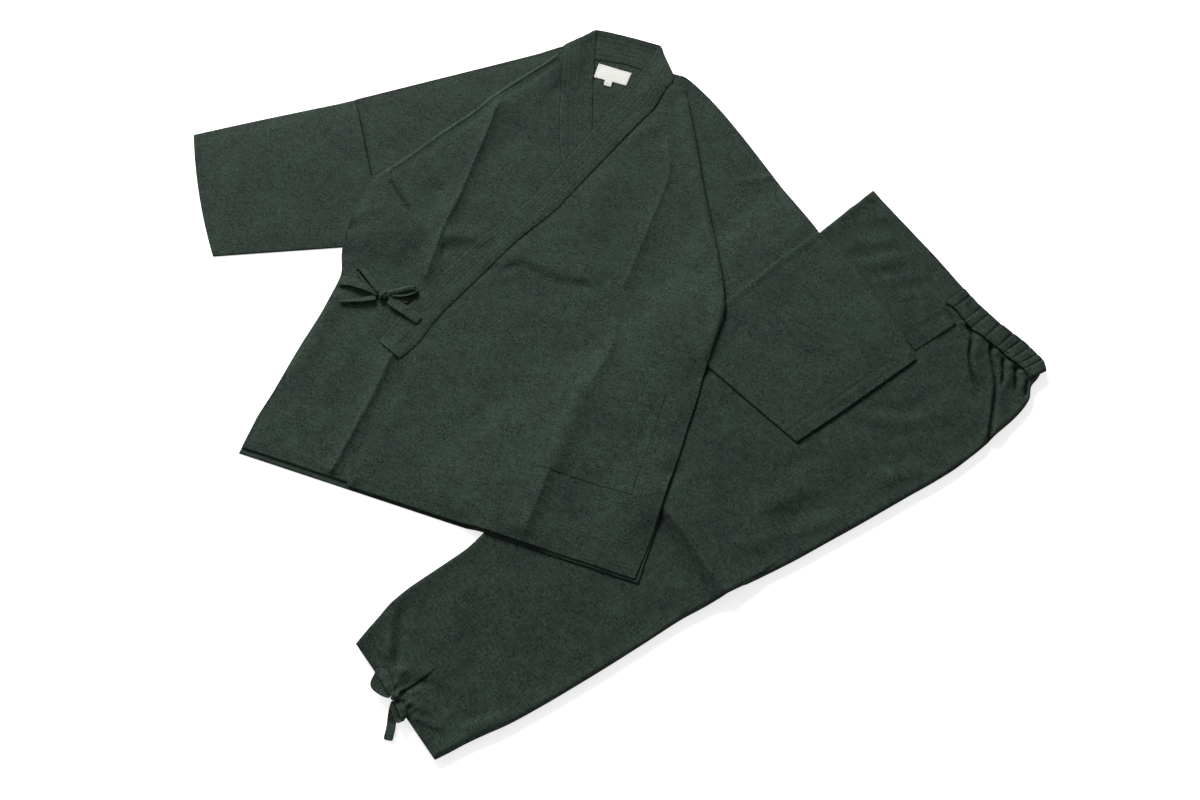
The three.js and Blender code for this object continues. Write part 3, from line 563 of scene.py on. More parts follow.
@dataclass(frozen=True)
class Thread:
    """Sewing thread: a plain twisted yarn."""

    name: str
    colour: tuple[float, float, float, float]

    def material(self) -> bpy.types.Material:
        """Builds the material: the colour with a fine twist along the stitch."""
        g = Graph(self.name)
        place = g.node("ShaderNodeTexCoord").outputs["Object"]
        twist = g.node("ShaderNodeTexWave", {"Vector": place, "Scale": 900.0, "Distortion": 0.5},
                       bands_direction="DIAGONAL").outputs["Fac"]
        darker = tuple(0.6 * v for v in self.colour[:3]) + (1.0,)
        g.links.new(g.blend(twist, darker, self.colour), g.shader.inputs["Base Color"])
        g.set(Roughness=0.7, Specular_IOR_Level=0.25)
        return g.material


@dataclass(frozen=True)
class WovenTape:
    """Cream label tape with a fine rib, mixed towards a darker edge colour by the rib and by painted shade."""

    name: str = "woven_label"
    cream: tuple[float, float, float, float] = (0.80, 0.81, 0.76, 1.0)
    edge: tuple[float, float, float, float] = (0.62, 0.62, 0.55, 1.0)

    def material(self) -> bpy.types.Material:
        """Builds the rib as fine waves on the grain map, and mixes in the darker colour by the rib and the painted
        shade mark.
        """
        g = Graph(self.name)
        grain = g.node("ShaderNodeUVMap", uv_map="grain").outputs[0]
        rib = g.node("ShaderNodeTexWave", {"Vector": grain, "Scale": 400.0, "Distortion": 0.4},
                     bands_direction="Y").outputs["Fac"]
        painted_shade = g.node("ShaderNodeAttribute", attribute_name="painted_shade").outputs["Fac"]
        rib_and_shade = g.math("ADD", painted_shade, g.math("MULTIPLY", rib, 0.12))
        g.links.new(g.blend(rib_and_shade, self.cream, self.edge), g.shader.inputs["Base Color"])
        bump = g.node("ShaderNodeBump", {"Strength": 0.4, "Distance": 0.0003, "Height": rib})
        g.links.new(bump.outputs[0], g.shader.inputs["Normal"])
        g.set(Roughness=0.75, Specular_IOR_Level=0.3, Sheen_Weight=0.2)
        return g.material


class Finishes:
    """The finishes of the set, made once."""

    def __init__(self) -> None:
        """Builds the materials."""
        self.cotton = SlubCotton().material()
        # the same cloth made darker for the trousers: painted shade for the weaker light there
        self.shaded_trouser_cotton = SlubCotton("slub_cotton_trousers_shaded", tone=0.93).material()
        self.tape = WovenTape().material()
        self.green_thread = Thread("green_thread", (0.034, 0.050, 0.038, 1.0)).material()
        self.pale_thread = Thread("pale_thread", (0.075, 0.100, 0.080, 1.0)).material()
        self.white_thread = Thread("white_thread", (0.72, 0.72, 0.68, 1.0)).material()


# ---------- shaping ----------
class Profile(Enum):
    """The cross-section of a raised line."""

    SOFT = "a bell"
    SHARP = "a tent, pressed to an edge at the line"


@dataclass(frozen=True)
class Crease:
    """A ridge (or, below zero, a trough) along a line in garment axes."""

    line: Line
    height: float
    reach: tuple[float, float] = (12.0, 12.0)      # on the negative and the positive side of the line
    profile: Profile = Profile.SOFT
    ends: tuple[float, float] = (0.3, 0.3)
    # painted shade along the line; above zero, a painted highlight
    painted_shade: float = 0.0
    mark: float = 2.5                              # how wide the painted shade or highlight is

    def raise_(self, down: Array, across: Array) -> tuple[Array, Array]:
        """Height and painted shade that the crease adds at points.

        Args:
            down, across: the points, in garment axes.

        Returns:
            height * exp(-2 (d / reach)^2) for a bell and height * exp(-1.6 d / reach) for a tent, with
            the reach of the point's side, faded out over the end shares, and the painted shade (a painted
            highlight where it is above zero), which is narrow and follows the line.
        """
        far, share = nearest(down, across, self.line)
        ratio = (np.hypot(far, 0.7) - 0.7) / np.where(far > 0, self.reach[1], self.reach[0])
        shape = np.exp(-2 * ratio**2) if self.profile is Profile.SOFT else np.exp(-1.6 * ratio)
        start, end = (max(e, 1e-6) for e in self.ends)
        fade = smoothstep(share / start) * smoothstep((1 - share) / end)
        return self.height * fade * shape, self.painted_shade * fade * np.exp(-((far / self.mark) ** 2))


@dataclass(frozen=True)
class Hem:
    """A turned and stitched edge: thicker cloth from the edge to its stitch line, with a groove there."""

    side: str
    width: float
    raise_mm: float = 0.7
    groove: float = 0.35
    pucker: float = 0.25
    sewn: tuple[float, float] = (0.0, 1.0)      # the share of its length whose stitches show


SIDES = {"start": (0, False), "end": (0, True), "first": (1, False), "last": (1, True)}


@dataclass
class Piece:
    """One piece of cloth as a grid on its garment's axes."""

    name: str
    axes: Axes
    down: Array
    across: Array
    wall: float = 0.8
    seed: int = 1

    def grain(self) -> Array:
        """Grain coordinates, across and down the cloth, moved on by the seed so that no piece repeats another."""
        return np.stack([self.across + GRAIN_SHIFT[0] * self.seed, self.down + GRAIN_SHIFT[1] * self.seed], -1)

    def reach_from(self, side: str) -> Array:
        """Distance of each grid point from one side of the grid, along its rows or columns."""
        axis, back = SIDES[side]
        step = np.hypot(np.diff(self.down, axis=axis), np.diff(self.across, axis=axis))
        pad = [(1, 0), (0, 0)] if axis == 0 else [(0, 0), (1, 0)]
        far = np.cumsum(np.pad(step, pad), axis=axis)
        if back:
            far = (far[-1:] if axis == 0 else far[:, -1:]) - far
        return far

    def inset(self, side: str, distance: float, part: tuple[float, float] = (0.0, 1.0)) -> list[tuple[float, float]]:
        """A line inside the piece at an even distance from one side.

        Args:
            side: the side of the grid.
            distance: how far inside.
            part: the share of the side that the line covers.

        Returns:
            Points on the garment's axes, one for each lane of the grid that the part covers.
        """
        far, down, across = self.reach_from(side), self.down, self.across
        if SIDES[side][0] == 0:
            far, down, across = far.T, down.T, across.T
        low, high = (int(round(p * (len(far) - 1))) for p in part)
        line = []
        for f, d, a in zip(far[low:high + 1], down[low:high + 1], across[low:high + 1]):
            order = np.argsort(f)
            line.append(tuple(float(np.interp(distance, f[order], values[order])) for values in (d, a)))
        return line

    def edge(self, but: Sequence[str] = ()) -> Array:
        """Distance from the nearest side of the grid, but for the sides named."""
        return np.minimum.reduce([self.reach_from(s) for s in SIDES if s not in but])

    def plan_area(self) -> float:
        """The cut's own area in square metres, from its grid."""
        plan = np.stack([self.down, self.across], -1)
        one, two = plan[1:, 1:] - plan[:-1, :-1], plan[1:, :-1] - plan[:-1, 1:]
        return float(np.abs(one[..., 0] * two[..., 1] - one[..., 1] * two[..., 0]).sum() / 2 * METRES**2)

    def flat(self) -> tuple[float, float]:
        """The cut's width and length in metres: its grid's longest row and longest column."""
        width = self.reach_from("first")[:, -1].max() * METRES
        length = self.reach_from("start")[-1].max() * METRES
        return max(width, 0.0101), max(length, 0.0101)


class Tailor:
    def __init__(self, ground: Ground, finishes: Finishes) -> None:
        """Keeps the ground and the finishes that all garments share."""
        self.ground = ground
        self.finishes = finishes

    def lay(self, piece: Piece, bed: Bed | None = None, creases: Sequence[Crease] = (),
            hems: Sequence[Hem] = (), air: float = 0.6, wave: float = 0.5, wave_length: float = 70.0,
            crumple: float = 0.12, edge_roll: float = 0.0, edge_air: float = 0.0, fade: float = 22.0,
            rim: float = 1.2, lap: float = LAP, level: Sequence[str] = (), droop: dict[str, float] | None = None,
            extra: Array | None = None, painted_shade: Array | None = None, finish: bpy.types.Material | None = None,
            thread: bpy.types.Material | None = None, slot: str = COTTON, held: str = "laid",
            rests_on: Sequence[str] = ("floor",), with_pieces: Sequence[bpy.types.Object] = ()) -> bpy.types.Object:
        """Lays one piece of cloth and makes its mesh.

        Args:
            piece: its grid.
            bed: what it lies on, by default what is there now.
            creases: ridges and troughs.
            hems: turned edges.
            air: how far the middle stands off what is below; it fades to nothing at the edges.
            wave, wave_length: slow unevenness, and its length.
            crumple: fine unevenness.
            edge_roll: extra thickness of a rolled edge.
            edge_air, fade: how far the edges stand off, and over what width the air grows from there.
            rim: strength of the painted shade along the free edges, which the level sides don't get.
            lap: the gap to what is below.
            level: sides that are sewn to a neighbour, where the cloth doesn't come down.
            droop: how far a side of the grid hangs down past what it lies on, by side.
            extra: further height on the grid, such as gathers.
            painted_shade: further painted shade.
            finish, thread: materials of the cloth and of its stitches; slot: not used.
            held, rests_on, with_pieces: not used.

        Returns:
            The finished object.
        """
        plan = piece.axes.plan(piece.down, piece.across)
        inside = piece.edge(level)
        bed = bed or self.ground.bed()
        rest = self.ground.read(plan, bed.close)
        rest = rest + (self.ground.read(plan, bed.wide) - rest) * smoothstep(inside / SPAN)
        rest = lapped(rest, lap)
        waves = Waves(piece.seed)
        free = smoothstep(inside / fade)
        lift = edge_air + (air - edge_air) * free
        lift = lift + wave * (0.5 + 0.5 * waves.field(piece.down, piece.across, wave_length)) * free
        lift = lift + crumple * (1 + waves.field(piece.down, piece.across, 17)) * smoothstep(inside / 8)
        # painted shade: a dark line along the free edges, standing in for the shadow under them
        mark = -rim * (1 - smoothstep(inside / EDGE_SHADE_WIDTH))
        if painted_shade is not None:
            mark = mark + painted_shade
        for crease in creases:
            height, crease_shade = crease.raise_(piece.down, piece.across)
            lift = lift + height
            mark = mark + crease_shade
        thick = np.full_like(rest, piece.wall)
        for hem in hems:
            far = piece.reach_from(hem.side)
            pucker = hem.pucker * waves.field(piece.down, piece.across, 9.0)
            band = 1 - smoothstep((far - hem.width) / 1.6 + 0.5)
            thick = thick + hem.raise_mm * band
            at_stitch = np.exp(-(((far - hem.width) / 1.5) ** 2))
            thick = thick - hem.groove * at_stitch
            lift = lift + np.maximum(pucker, 0) * np.exp(-(((far - hem.width) / 7) ** 2))
        if edge_roll:
            thick = thick + edge_roll * (1 - smoothstep(inside / 5.0))
        for side, drop in (droop or {}).items():
            far = piece.reach_from(side)
            lift = lift + 1.9 * np.exp(-((far / 13) ** 2)) - drop * (1 - smoothstep(far / 2.2)) ** 2
        if extra is not None:
            lift = lift + extra
        floor = 0.0 if droop else np.minimum(rest, self.ground.read(plan) + lap)
        bottom_z = np.maximum(rest + lift, floor)
        top = raised(plan, bottom_z + np.maximum(thick, THINNEST))
        self.ground.lay(top)
        solid = cloth_solid(top, raised(plan, bottom_z), piece.grain(), mark)
        made = solid.build(f"{piece.name}_cloth", finish or self.finishes.cotton)
        self.declare(made, piece.name, slot, piece.flat(), piece.plan_area(), held, rests_on, with_pieces)
        rows = [piece.inset(h.side, h.width, h.sewn) for h in hems if h.sewn[1] > h.sewn[0]]
        if rows:
            self.sew(f"{piece.name}_stitches", piece.axes, rows, finish=thread)
        return made

    def claim(self, made: bpy.types.Object, node: str, slot: str) -> None:
        """Hangs a finished piece on the root body and hides the solid it stands for."""
        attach(made, "root")
        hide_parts(node)

    def declare(self, made: bpy.types.Object, node: str, slot: str, flat: tuple[float, float], area: float,
                held: str, rests_on: Sequence[str], with_pieces: Sequence[bpy.types.Object] = ()) -> None:
        """Hangs a finished piece of cloth on the root body, hides the solid it stands for and logs its faces and cut.
        """
        self.claim(made, node, slot)
        LOG.info("%s: %d faces, cut %.0f by %.0f mm", made.name, len(made.data.polygons), flat[0] * 1e3,
                 flat[1] * 1e3)

    def sew(self, name: str, axes: Axes, lines: Sequence[Line], pitch: float = 3.0, length: float = 2.1,
            width: float = 0.5, height: float = 0.22, finish: bpy.types.Material | None = None,
            slot: str = COTTON) -> bpy.types.Object:
        """Sews rows of stitches on what is laid, as one joined mesh.

        Args:
            name: the object's name.
            axes: the garment's axes that the lines are in.
            lines: the rows.
            pitch: from one stitch to the next.
            length, width, height: of a stitch.
            finish: the thread's material; slot: not used.

        Returns:
            The object. Each stitch is a slim lozenge of ten points along the row.
        """
        shape = np.array([[-0.5, 0, 0], [-0.3, 0.5, 0], [-0.3, 0, 1], [-0.3, -0.5, 0], [-0.3, 0, -1],
                          [0.3, 0.5, 0], [0.3, 0, 1], [0.3, -0.5, 0], [0.3, 0, -1], [0.5, 0, 0]])
        shape = shape * [length, width, height]
        faces = np.array([[0, 2, 1, 0], [0, 3, 2, 0], [0, 4, 3, 0], [0, 1, 4, 0], [1, 2, 6, 5], [2, 3, 7, 6],
                          [3, 4, 8, 7], [4, 1, 5, 8], [9, 5, 6, 9], [9, 6, 7, 9], [9, 7, 8, 9], [9, 8, 5, 9]])
        centres, ways = [], []
        for line in lines:
            points = walk(line, pitch / 2)
            plan = axes.plan(points[:, 0], points[:, 1])
            spots = raised(plan, self.ground.read(plan))
            centres.append(spots[1:-1:2])
            ways.append((spots[2::2] - spots[:-2:2])[:len(spots[1:-1:2])])
        centre, way = np.concatenate(centres), np.concatenate(ways)
        way /= np.maximum(np.linalg.norm(way, axis=1, keepdims=True), 1e-9)
        side = np.stack([-way[:, 1], way[:, 0], np.zeros(len(way))], -1)
        up = np.cross(way, side)
        points = (centre[:, None] + shape[None, :, :1] * way[:, None] + shape[None, :, 1:2] * side[:, None]
                  + (shape[None, :, 2:] + 0.12) * up[:, None])
        mesh = bpy.data.meshes.new(name)
        quads = (faces[None] + 10 * np.arange(len(centre))[:, None, None]).reshape(-1, 4)
        rows = [list(dict.fromkeys(q)) for q in quads.tolist()]
        mesh.from_pydata((points.reshape(-1, 3) * METRES).tolist(), [], rows)
        mesh.materials.append(finish or self.finishes.green_thread)
        made = placed(name, mesh)
        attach(made, "root")
        LOG.info("%s: %d stitches", name, len(centre))
        return made


def rows_of(table: Sequence[Sequence[float]], at: Array, columns: Sequence[int]) -> list[Array]:
    """Columns of a table whose first column is the distance, read smoothly at the given distances."""
    data = np.asarray(table, float)
    return [soft(at, data[:, 0], data[:, k]) for k in columns]


def fill(guides: Sequence[Array], shares: Sequence[Array]) -> Array:
    """A grid of across values between guide lines.

    Args:
        guides: the guide lines' across values, row by row.
        shares: for each gap between guides, the column shares from 0 to 1.

    Returns:
        Rows by columns: each gap is filled evenly by its shares, and guides aren't repeated.
    """
    blocks = []
    for k, share in enumerate(shares):
        block = guides[k][:, None] + (guides[k + 1] - guides[k])[:, None] * share[None, :]
        blocks.append(block if k == 0 else block[:, 1:])
    return np.concatenate(blocks, 1)


def shares(width: float, step: float, low: float = 0.0, high: float = 0.0, fine: float = 1.6) -> Array:
    """Column shares over a width, closer together near its low and high side over the given reaches."""
    places = [(place, reach, fine) for place, reach in ((0.0, low), (width, high)) if reach > 0]
    return graded(0, width, step, places) / width


def patch(name: str, axes: Axes, corners: Line, steps: tuple[int, int], wall: float, seed: int) -> Piece:
    """A piece filled evenly between four corners, by straight lines one way and then the other."""
    a, b, c, d = (np.array(p, float) for p in corners)
    s, t = np.linspace(0, 1, steps[0])[:, None, None], np.linspace(0, 1, steps[1])[None, :, None]
    grid = (a * (1 - s) + c * s) * (1 - t) + (b * (1 - s) + d * s) * t
    return Piece(name, axes, grid[..., 0], grid[..., 1], wall=wall, seed=seed)


# ---------- trousers ----------
@dataclass
class Trousers:
    """The trousers, folded leg on leg, with the gathered waist and the ankle casing."""

    tailor: Tailor
    step: float = 4.0
    inset: float = 3.0             # the hidden layers stop this far inside the leg that shows
    hidden_layers: int = 3
    hidden_layer: float = 2.0
    skew_fade: float = 40.0
    # along, front fold, side seam, seat fold
    leg: Sequence[Sequence[float]] = (
        (-6, -200, 3, 158), (12, -199, 3, 168), (24, -198, 3, 171), (37, -198, 3, 183), (50, -197, 3, 188),
        (64, -196, 4, 191), (80, -195, 4, 193), (97, -194, 4, 194), (115, -192, 5, 195), (133, -190, 5, 197),
        (155, -188, 6, 198), (185, -185, 6, 198), (224, -180, 7, 195), (269, -174, 7, 189), (310, -169, 8, 184),
        (350, -163, 8, 179), (400, -157, 8, 172), (450, -151, 8, 165), (500, -146, 8, 156), (546, -141, 4, 147),
        (585, -137, 3, 142), (625, -132, 2, 136), (680, -126, 0, 132), (740, -119, -1, 127), (800, -111, -2, 121),
        (842, -112, -3, 116), (882, -113, -3, 110), (912, -111, -3, 103), (940, -104, -4, 97), (960, -99, -5, 94),
        (981, -93, -8, 90))
    skew: Line = ((-200, 0), (-60, 0), (20, 3), (90, -3), (140, -9))
    # across, free edge, seam, pull of the seam end
    band: Sequence[Sequence[float]] = (
        (3, -3, 34, 0), (20, -3, 30, 0), (53, -2, 32, 1), (89, -9, 25, 4), (126, -15, 21, -3), (150, -15, 17, -5),
        (168, -8, 21, -5))
    gathers: int = 10
    gather_height: float = 1.5
    welt: Line = ((38, 8), (45, 38), (117, 4), (119, 33))
    creases: Sequence[Crease] = (
        # across the top of the front panel
        Crease([(98, -158), (40, -128), (0, -104)], 1.5, (12, 16)),
        Crease([(110, -143), (50, -112), (4, -86)], -1.2, (9, 12)),
        Crease([(96, -116), (60, -98), (24, -82)], 1.2, (10, 14)),
        Crease([(104, -98), (34, -67)], -0.9, (9, 9)),
        Crease([(96, -80), (60, -62), (22, -46)], 1.3, (12, 15)),
        Crease([(88, -45), (50, -26), (38, -14)], 1.3, (9, 13)),
        Crease([(40, -176), (20, -158), (2, -140)], 0.9, (10, 12)),
        # crumpled at the top of the welt
        Crease([(26, 4), (36, 20), (32, 36)], 2.6, (3, 5), Profile.SHARP),
        Crease([(46, 34), (34, 44), (30, 58)], 2.2, (4, 3), Profile.SHARP),
        Crease([(50, 38), (66, 34), (84, 36)], 1.7, (4, 6)),
        # the two deep folds below the band, each with the slope beside it; painted shade lies in the troughs
        Crease([(30, 62), (38, 76), (62, 92), (84, 136)], 3.0, (10, 15), ends=(0.15, 0.35)),
        Crease([(29, 44), (38, 64), (62, 86), (76, 106), (92, 142)], -6.0, (3.0, 2.6), ends=(0.06, 0.12), painted_shade=-2.0),
        Crease([(20, 96), (32, 104), (60, 142), (100, 178), (126, 200)], 3.8, (11, 17), ends=(0.12, 0.02)),
        Crease([(22, 88), (34, 100), (61, 139), (103, 176), (133, 200)], -7.0, (3.6, 2.8), ends=(0.06, 0.02),
               painted_shade=-2.2),
        Crease([(22, 122), (38, 140), (58, 158)], 3.6, (6, 9), ends=(0.15, 0.4)),
        Crease([(24, 114), (42, 134), (64, 152)], -5.0, (3, 3), ends=(0.15, 0.4), painted_shade=-1.0),
        Crease([(19, 143), (33, 160), (50, 176)], 3.4, (5, 8), ends=(0.15, 0.4)),
        Crease([(20, 136), (36, 154), (54, 171)], -4.8, (3, 3), ends=(0.15, 0.4), painted_shade=-1.0),
        Crease([(20, 160), (34, 172), (46, 184)], -4.1, (3, 3), ends=(0.15, 0.4), painted_shade=-0.8),
        # arcs round the sleeve's corner
        Crease([(265, 36), (233, 76), (195, 111), (155, 123), (112, 114)], 1.8, (20, 12)),
        Crease([(300, 62), (262, 100), (222, 138), (180, 160)], 1.5, (22, 24)),
        Crease([(232, 44), (204, 82), (168, 98), (130, 92)], -1.2, (10, 12)),
        Crease([(310, 140), (262, 160), (206, 180)], 1.9, (15, 18)),
        # lower on the seat panel
        Crease([(395, 50), (350, 64), (318, 78)], -1.7, (15, 13)),
        Crease([(470, 76), (410, 92), (350, 106)], 2.6, (14, 22)),
        Crease([(450, 108), (400, 122), (350, 136)], -1.4, (16, 16)),
        Crease([(440, 132), (395, 148), (350, 160)], 1.7, (11, 12)),
        Crease([(520, 98), (470, 118), (430, 130)], 1.4, (13, 15)),
        # the crease across the leg, with a painted highlight on its crest and a broad band of painted shade beside it
        Crease([(545, -30), (547, 5), (548, 46), (551, 94), (553, 150)], 8.5, (24, 60), Profile.SHARP, (0.12, 0.0),
               0.9, 1.6),
        Crease([(557, -20), (559, 5), (560, 46), (563, 94), (565, 150)], -0.8, (12, 12), ends=(0.2, 0.0), painted_shade=-0.8,
               mark=11.0),
        Crease([(640, -20), (690, 20), (720, 70)], 1.4, (22, 22)),
        Crease([(760, -60), (800, -10), (815, 50)], 1.7, (24, 24)),
        Crease([(850, -80), (872, -30), (880, 30)], 1.4, (18, 22)),
        Crease([(862, 102), (905, 92), (945, 76)], 2.2, (10, 14)),
        # beside the ankle tie
        Crease([(900, -102), (922, -76), (946, -44), (958, -26)], -3.1, (10, 10), ends=(0.2, 0.2)),
        Crease([(918, -104), (940, -74), (962, -46)], 2.6, (8, 9), ends=(0.2, 0.3)),
        # painted shade in this trough
        Crease([(966, -6), (944, -2), (934, 14), (932, 34), (942, 56)], -4.1, (9, 11), ends=(0.1, 0.25), painted_shade=-0.5),
        Crease([(974, 8), (962, 20), (960, 40)], 3.1, (8, 7), ends=(0.2, 0.3)),
        Crease([(976, 24), (962, 50), (950, 72)], 2.2, (4, 5)),
        Crease([(974, -12), (958, -24), (940, -26)], 2.2, (5, 5)),
    )

    def skewed(self, along: Array, across: Array) -> Array:
        """Distances along the leg with the waist line's skew added, fading out down the leg."""
        fade = np.clip(1 - (along - self.leg[0][0]) / self.skew_fade, 0, 1)
        return along + np.interp(across, *zip(*self.skew)) * fade

    def panel(self, name: str, low: int, high: int, seed: int, step: float) -> Piece:
        """One leg panel's grid between two columns of the leg table, with the given step across."""
        along = graded(self.leg[0][0], self.leg[-1][0], self.step, [(70, 90, 2.2), (549, 16, 1.8), (968, 22, 2.0)])
        guides = rows_of(self.leg, along, (low, high))
        across = fill(guides, [shares(190, step, 8, 8)])
        grid = np.repeat(along[:, None], across.shape[1], 1)
        return Piece(name, TROUSERS, self.skewed(grid, across), across, wall=0.9, seed=seed)

    def gathered(self, panel: Piece) -> Array:
        """The small folds that run from the waistband and from the ankle casing into a panel.

        Args:
            panel: the panel's grid.

        Returns:
            height * (0.5 + 0.5 sin(phase)) * exp(-distance / reach), the phase wandering along the fold.
        """
        wander = Waves(panel.seed + 30).field(panel.down, panel.across, 60)
        waist = 1.5 * (0.5 + 0.5 * np.sin(panel.across / 2.6 + 1.6 * wander)) * np.exp(-np.abs(panel.down - 22) / 16)
        waist = waist * smoothstep((panel.across - 10) / 30)
        ankle = 1.5 * (0.5 + 0.5 * np.sin(panel.across / 1.9 + 1.4 * wander)) * np.exp(-np.abs(panel.down - 972) / 11)
        return waist + ankle * smoothstep((45 - np.abs(panel.across)) / 25)

    def build(self) -> None:
        """Builds the trousers from the hidden layers up."""
        self.folded_under()
        under = self.tailor.ground.bed()
        for name, low, step, fold, seam, seam_rise in (("left_leg_front", 1, 3.6, "first", "last", 2.0),
                                                       ("left_leg_back", 2, 2.4, "last", "first", 0.0)):
            panel = self.panel(name, low, low + 1, 11, step)
            ridge = np.exp(-((panel.reach_from(seam) / 6) ** 2)) * smoothstep((panel.down - 905) / 40)
            self.tailor.lay(panel, under, self.creases, air=1.8, edge_air=1.3, fade=6, wave=0.9, edge_roll=0.3,
                            level=[seam], droop={fold: 4.8}, extra=self.gathered(panel) + seam_rise * ridge,
                            finish=self.tailor.finishes.shaded_trouser_cotton, rests_on=["legs_folded_under"])
        self.waistband()
        self.pocket_welt()

    def folded_under(self) -> None:
        """The hidden layers as one rounded solid: its edge is half a circle for each layer.

        The grid is an even fill of the leg's outline. Rings at the layers' grooves and rolls, from the
        top down, close it, each ring moved inwards by the circle's sagitta.
        """
        along = graded(self.leg[0][0] + self.inset, self.leg[-1][0] - self.inset, 9.0)
        low, high = rows_of(self.leg, along, (1, 3))
        across = fill([low + self.inset, high - self.inset], [np.linspace(0, 1, 36)])
        grid = self.skewed(np.repeat(along[:, None], across.shape[1], 1), across)
        plan = TROUSERS.plan(grid, across)
        tall = self.hidden_layers * self.hidden_layer
        waves = Waves(10)
        inside = Piece("", TROUSERS, grid, across).edge()
        painted_shade = np.zeros_like(across)
        top = raised(plan, tall + 0.5 * waves.field(grid, across, 90) * smoothstep(inside / 30))
        bottom = raised(plan, painted_shade)
        grain = np.stack([across + 900, grid + 400], -1)
        solid = Solid()
        upper, lower = solid.add(top, grain, painted_shade), solid.add(bottom, grain, painted_shade)
        rim, out = rim_of(top), outward(rim_of(top))
        rim[:, 2] = tall
        previous, edge_grain, edge_shade = rim_of(upper), rim_of(grain), rim_of(painted_shade)
        radius = self.hidden_layer / 2
        for layer in range(self.hidden_layers):
            for angle in (60, 20, -20, -60, -90):
                if layer == self.hidden_layers - 1 and angle == -90:
                    continue
                a = math.radians(angle)
                ring = rim + out * radius * 1.3 * math.cos(a)
                ring[:, 2] = tall - (layer + 0.5) * self.hidden_layer + radius * math.sin(a)
                wander = 0.5 * np.sin(np.arange(len(rim)) * 0.21 + 2.1 * layer)
                ring = ring + out * wander[:, None] * math.cos(a)
                previous = solid.ring(previous, ring, edge_grain, edge_shade)
        solid.close(previous, upper, lower)
        self.tailor.ground.lay(top)
        made = solid.build("legs_folded_under_cloth", self.tailor.finishes.shaded_trouser_cotton)
        cut = Piece("legs_folded_under", TROUSERS, grid, across)
        self.tailor.declare(made, cut.name, COTTON, cut.flat(), cut.plan_area(), "folded", ["floor"])

    def waistband(self) -> None:
        """The elastic stretch: a fine grid whose ridges run across it, uneven in width and height."""
        across_at = np.linspace(self.band[0][0], self.band[-1][0], 240)
        edge, seam, pull = rows_of(self.band, across_at, (1, 2, 3))
        t = graded(0, 1, 0.06, [(0, 0.08, 0.03), (1, 0.08, 0.03)])
        along = edge[:, None] + (seam - edge)[:, None] * t[None, :]
        across = across_at[:, None] + pull[:, None] * t[None, :]
        piece = Piece("waistband", TROUSERS, along, across, wall=1.1, seed=21)
        random = np.random.default_rng(8)
        widths = random.uniform(0.5, 1.5, self.gathers)
        stops = np.concatenate([[0], np.cumsum(widths) / widths.sum()])
        place = np.interp(np.linspace(0, 1, len(across_at)), stops, np.arange(self.gathers + 1))
        part = place - np.floor(place)
        edge_far = np.minimum(part, 1 - part) * (self.band[-1][0] - self.band[0][0]) / self.gathers
        crest = 1 - np.exp(-((edge_far / 1.9) ** 2))
        tall = np.interp(np.floor(place), np.arange(self.gathers + 1), random.uniform(0.7, 1.1, self.gathers + 1))
        slope = 1 + 0.35 * (0.5 - part)
        along_ridge = 0.8 + 0.2 * np.cos(math.pi * (t - 0.2))
        extra = self.gather_height * (crest * tall * slope)[:, None] * along_ridge[None, :]
        # painted shade in the grooves between the gathers
        groove_shade = -1.8 * np.exp(-((edge_far / 0.8) ** 2))[:, None] * np.ones_like(t)[None, :]
        self.tailor.lay(piece, extra=extra, painted_shade=groove_shade, air=0.1, wave=0.1, lap=0.05, held="gathered",
                        finish=self.tailor.finishes.shaded_trouser_cotton, rests_on=["left_leg_back"])
        rows = [piece.inset("last", 3.0), piece.inset("first", 3.0)]
        self.tailor.sew("waistband_stitches", TROUSERS, rows)

    def pocket_welt(self) -> None:
        """The side pocket's edge below the band: a narrow stitched strip."""
        piece = patch("pocket_welt", TROUSERS, self.welt, (34, 14), 0.5, 22)
        hems = [Hem(side, width, 0.3, 0.3, 0.1) for side, width in (("end", 2.5), ("last", 4), ("first", 3))]
        # rim gives a stronger painted shade along the welt's edges
        self.tailor.lay(piece, hems=hems, air=0.3, edge_air=-0.6, wave=0.3, lap=0.05, rim=1.6,
                        finish=self.tailor.finishes.shaded_trouser_cotton, rests_on=["left_leg_back"])


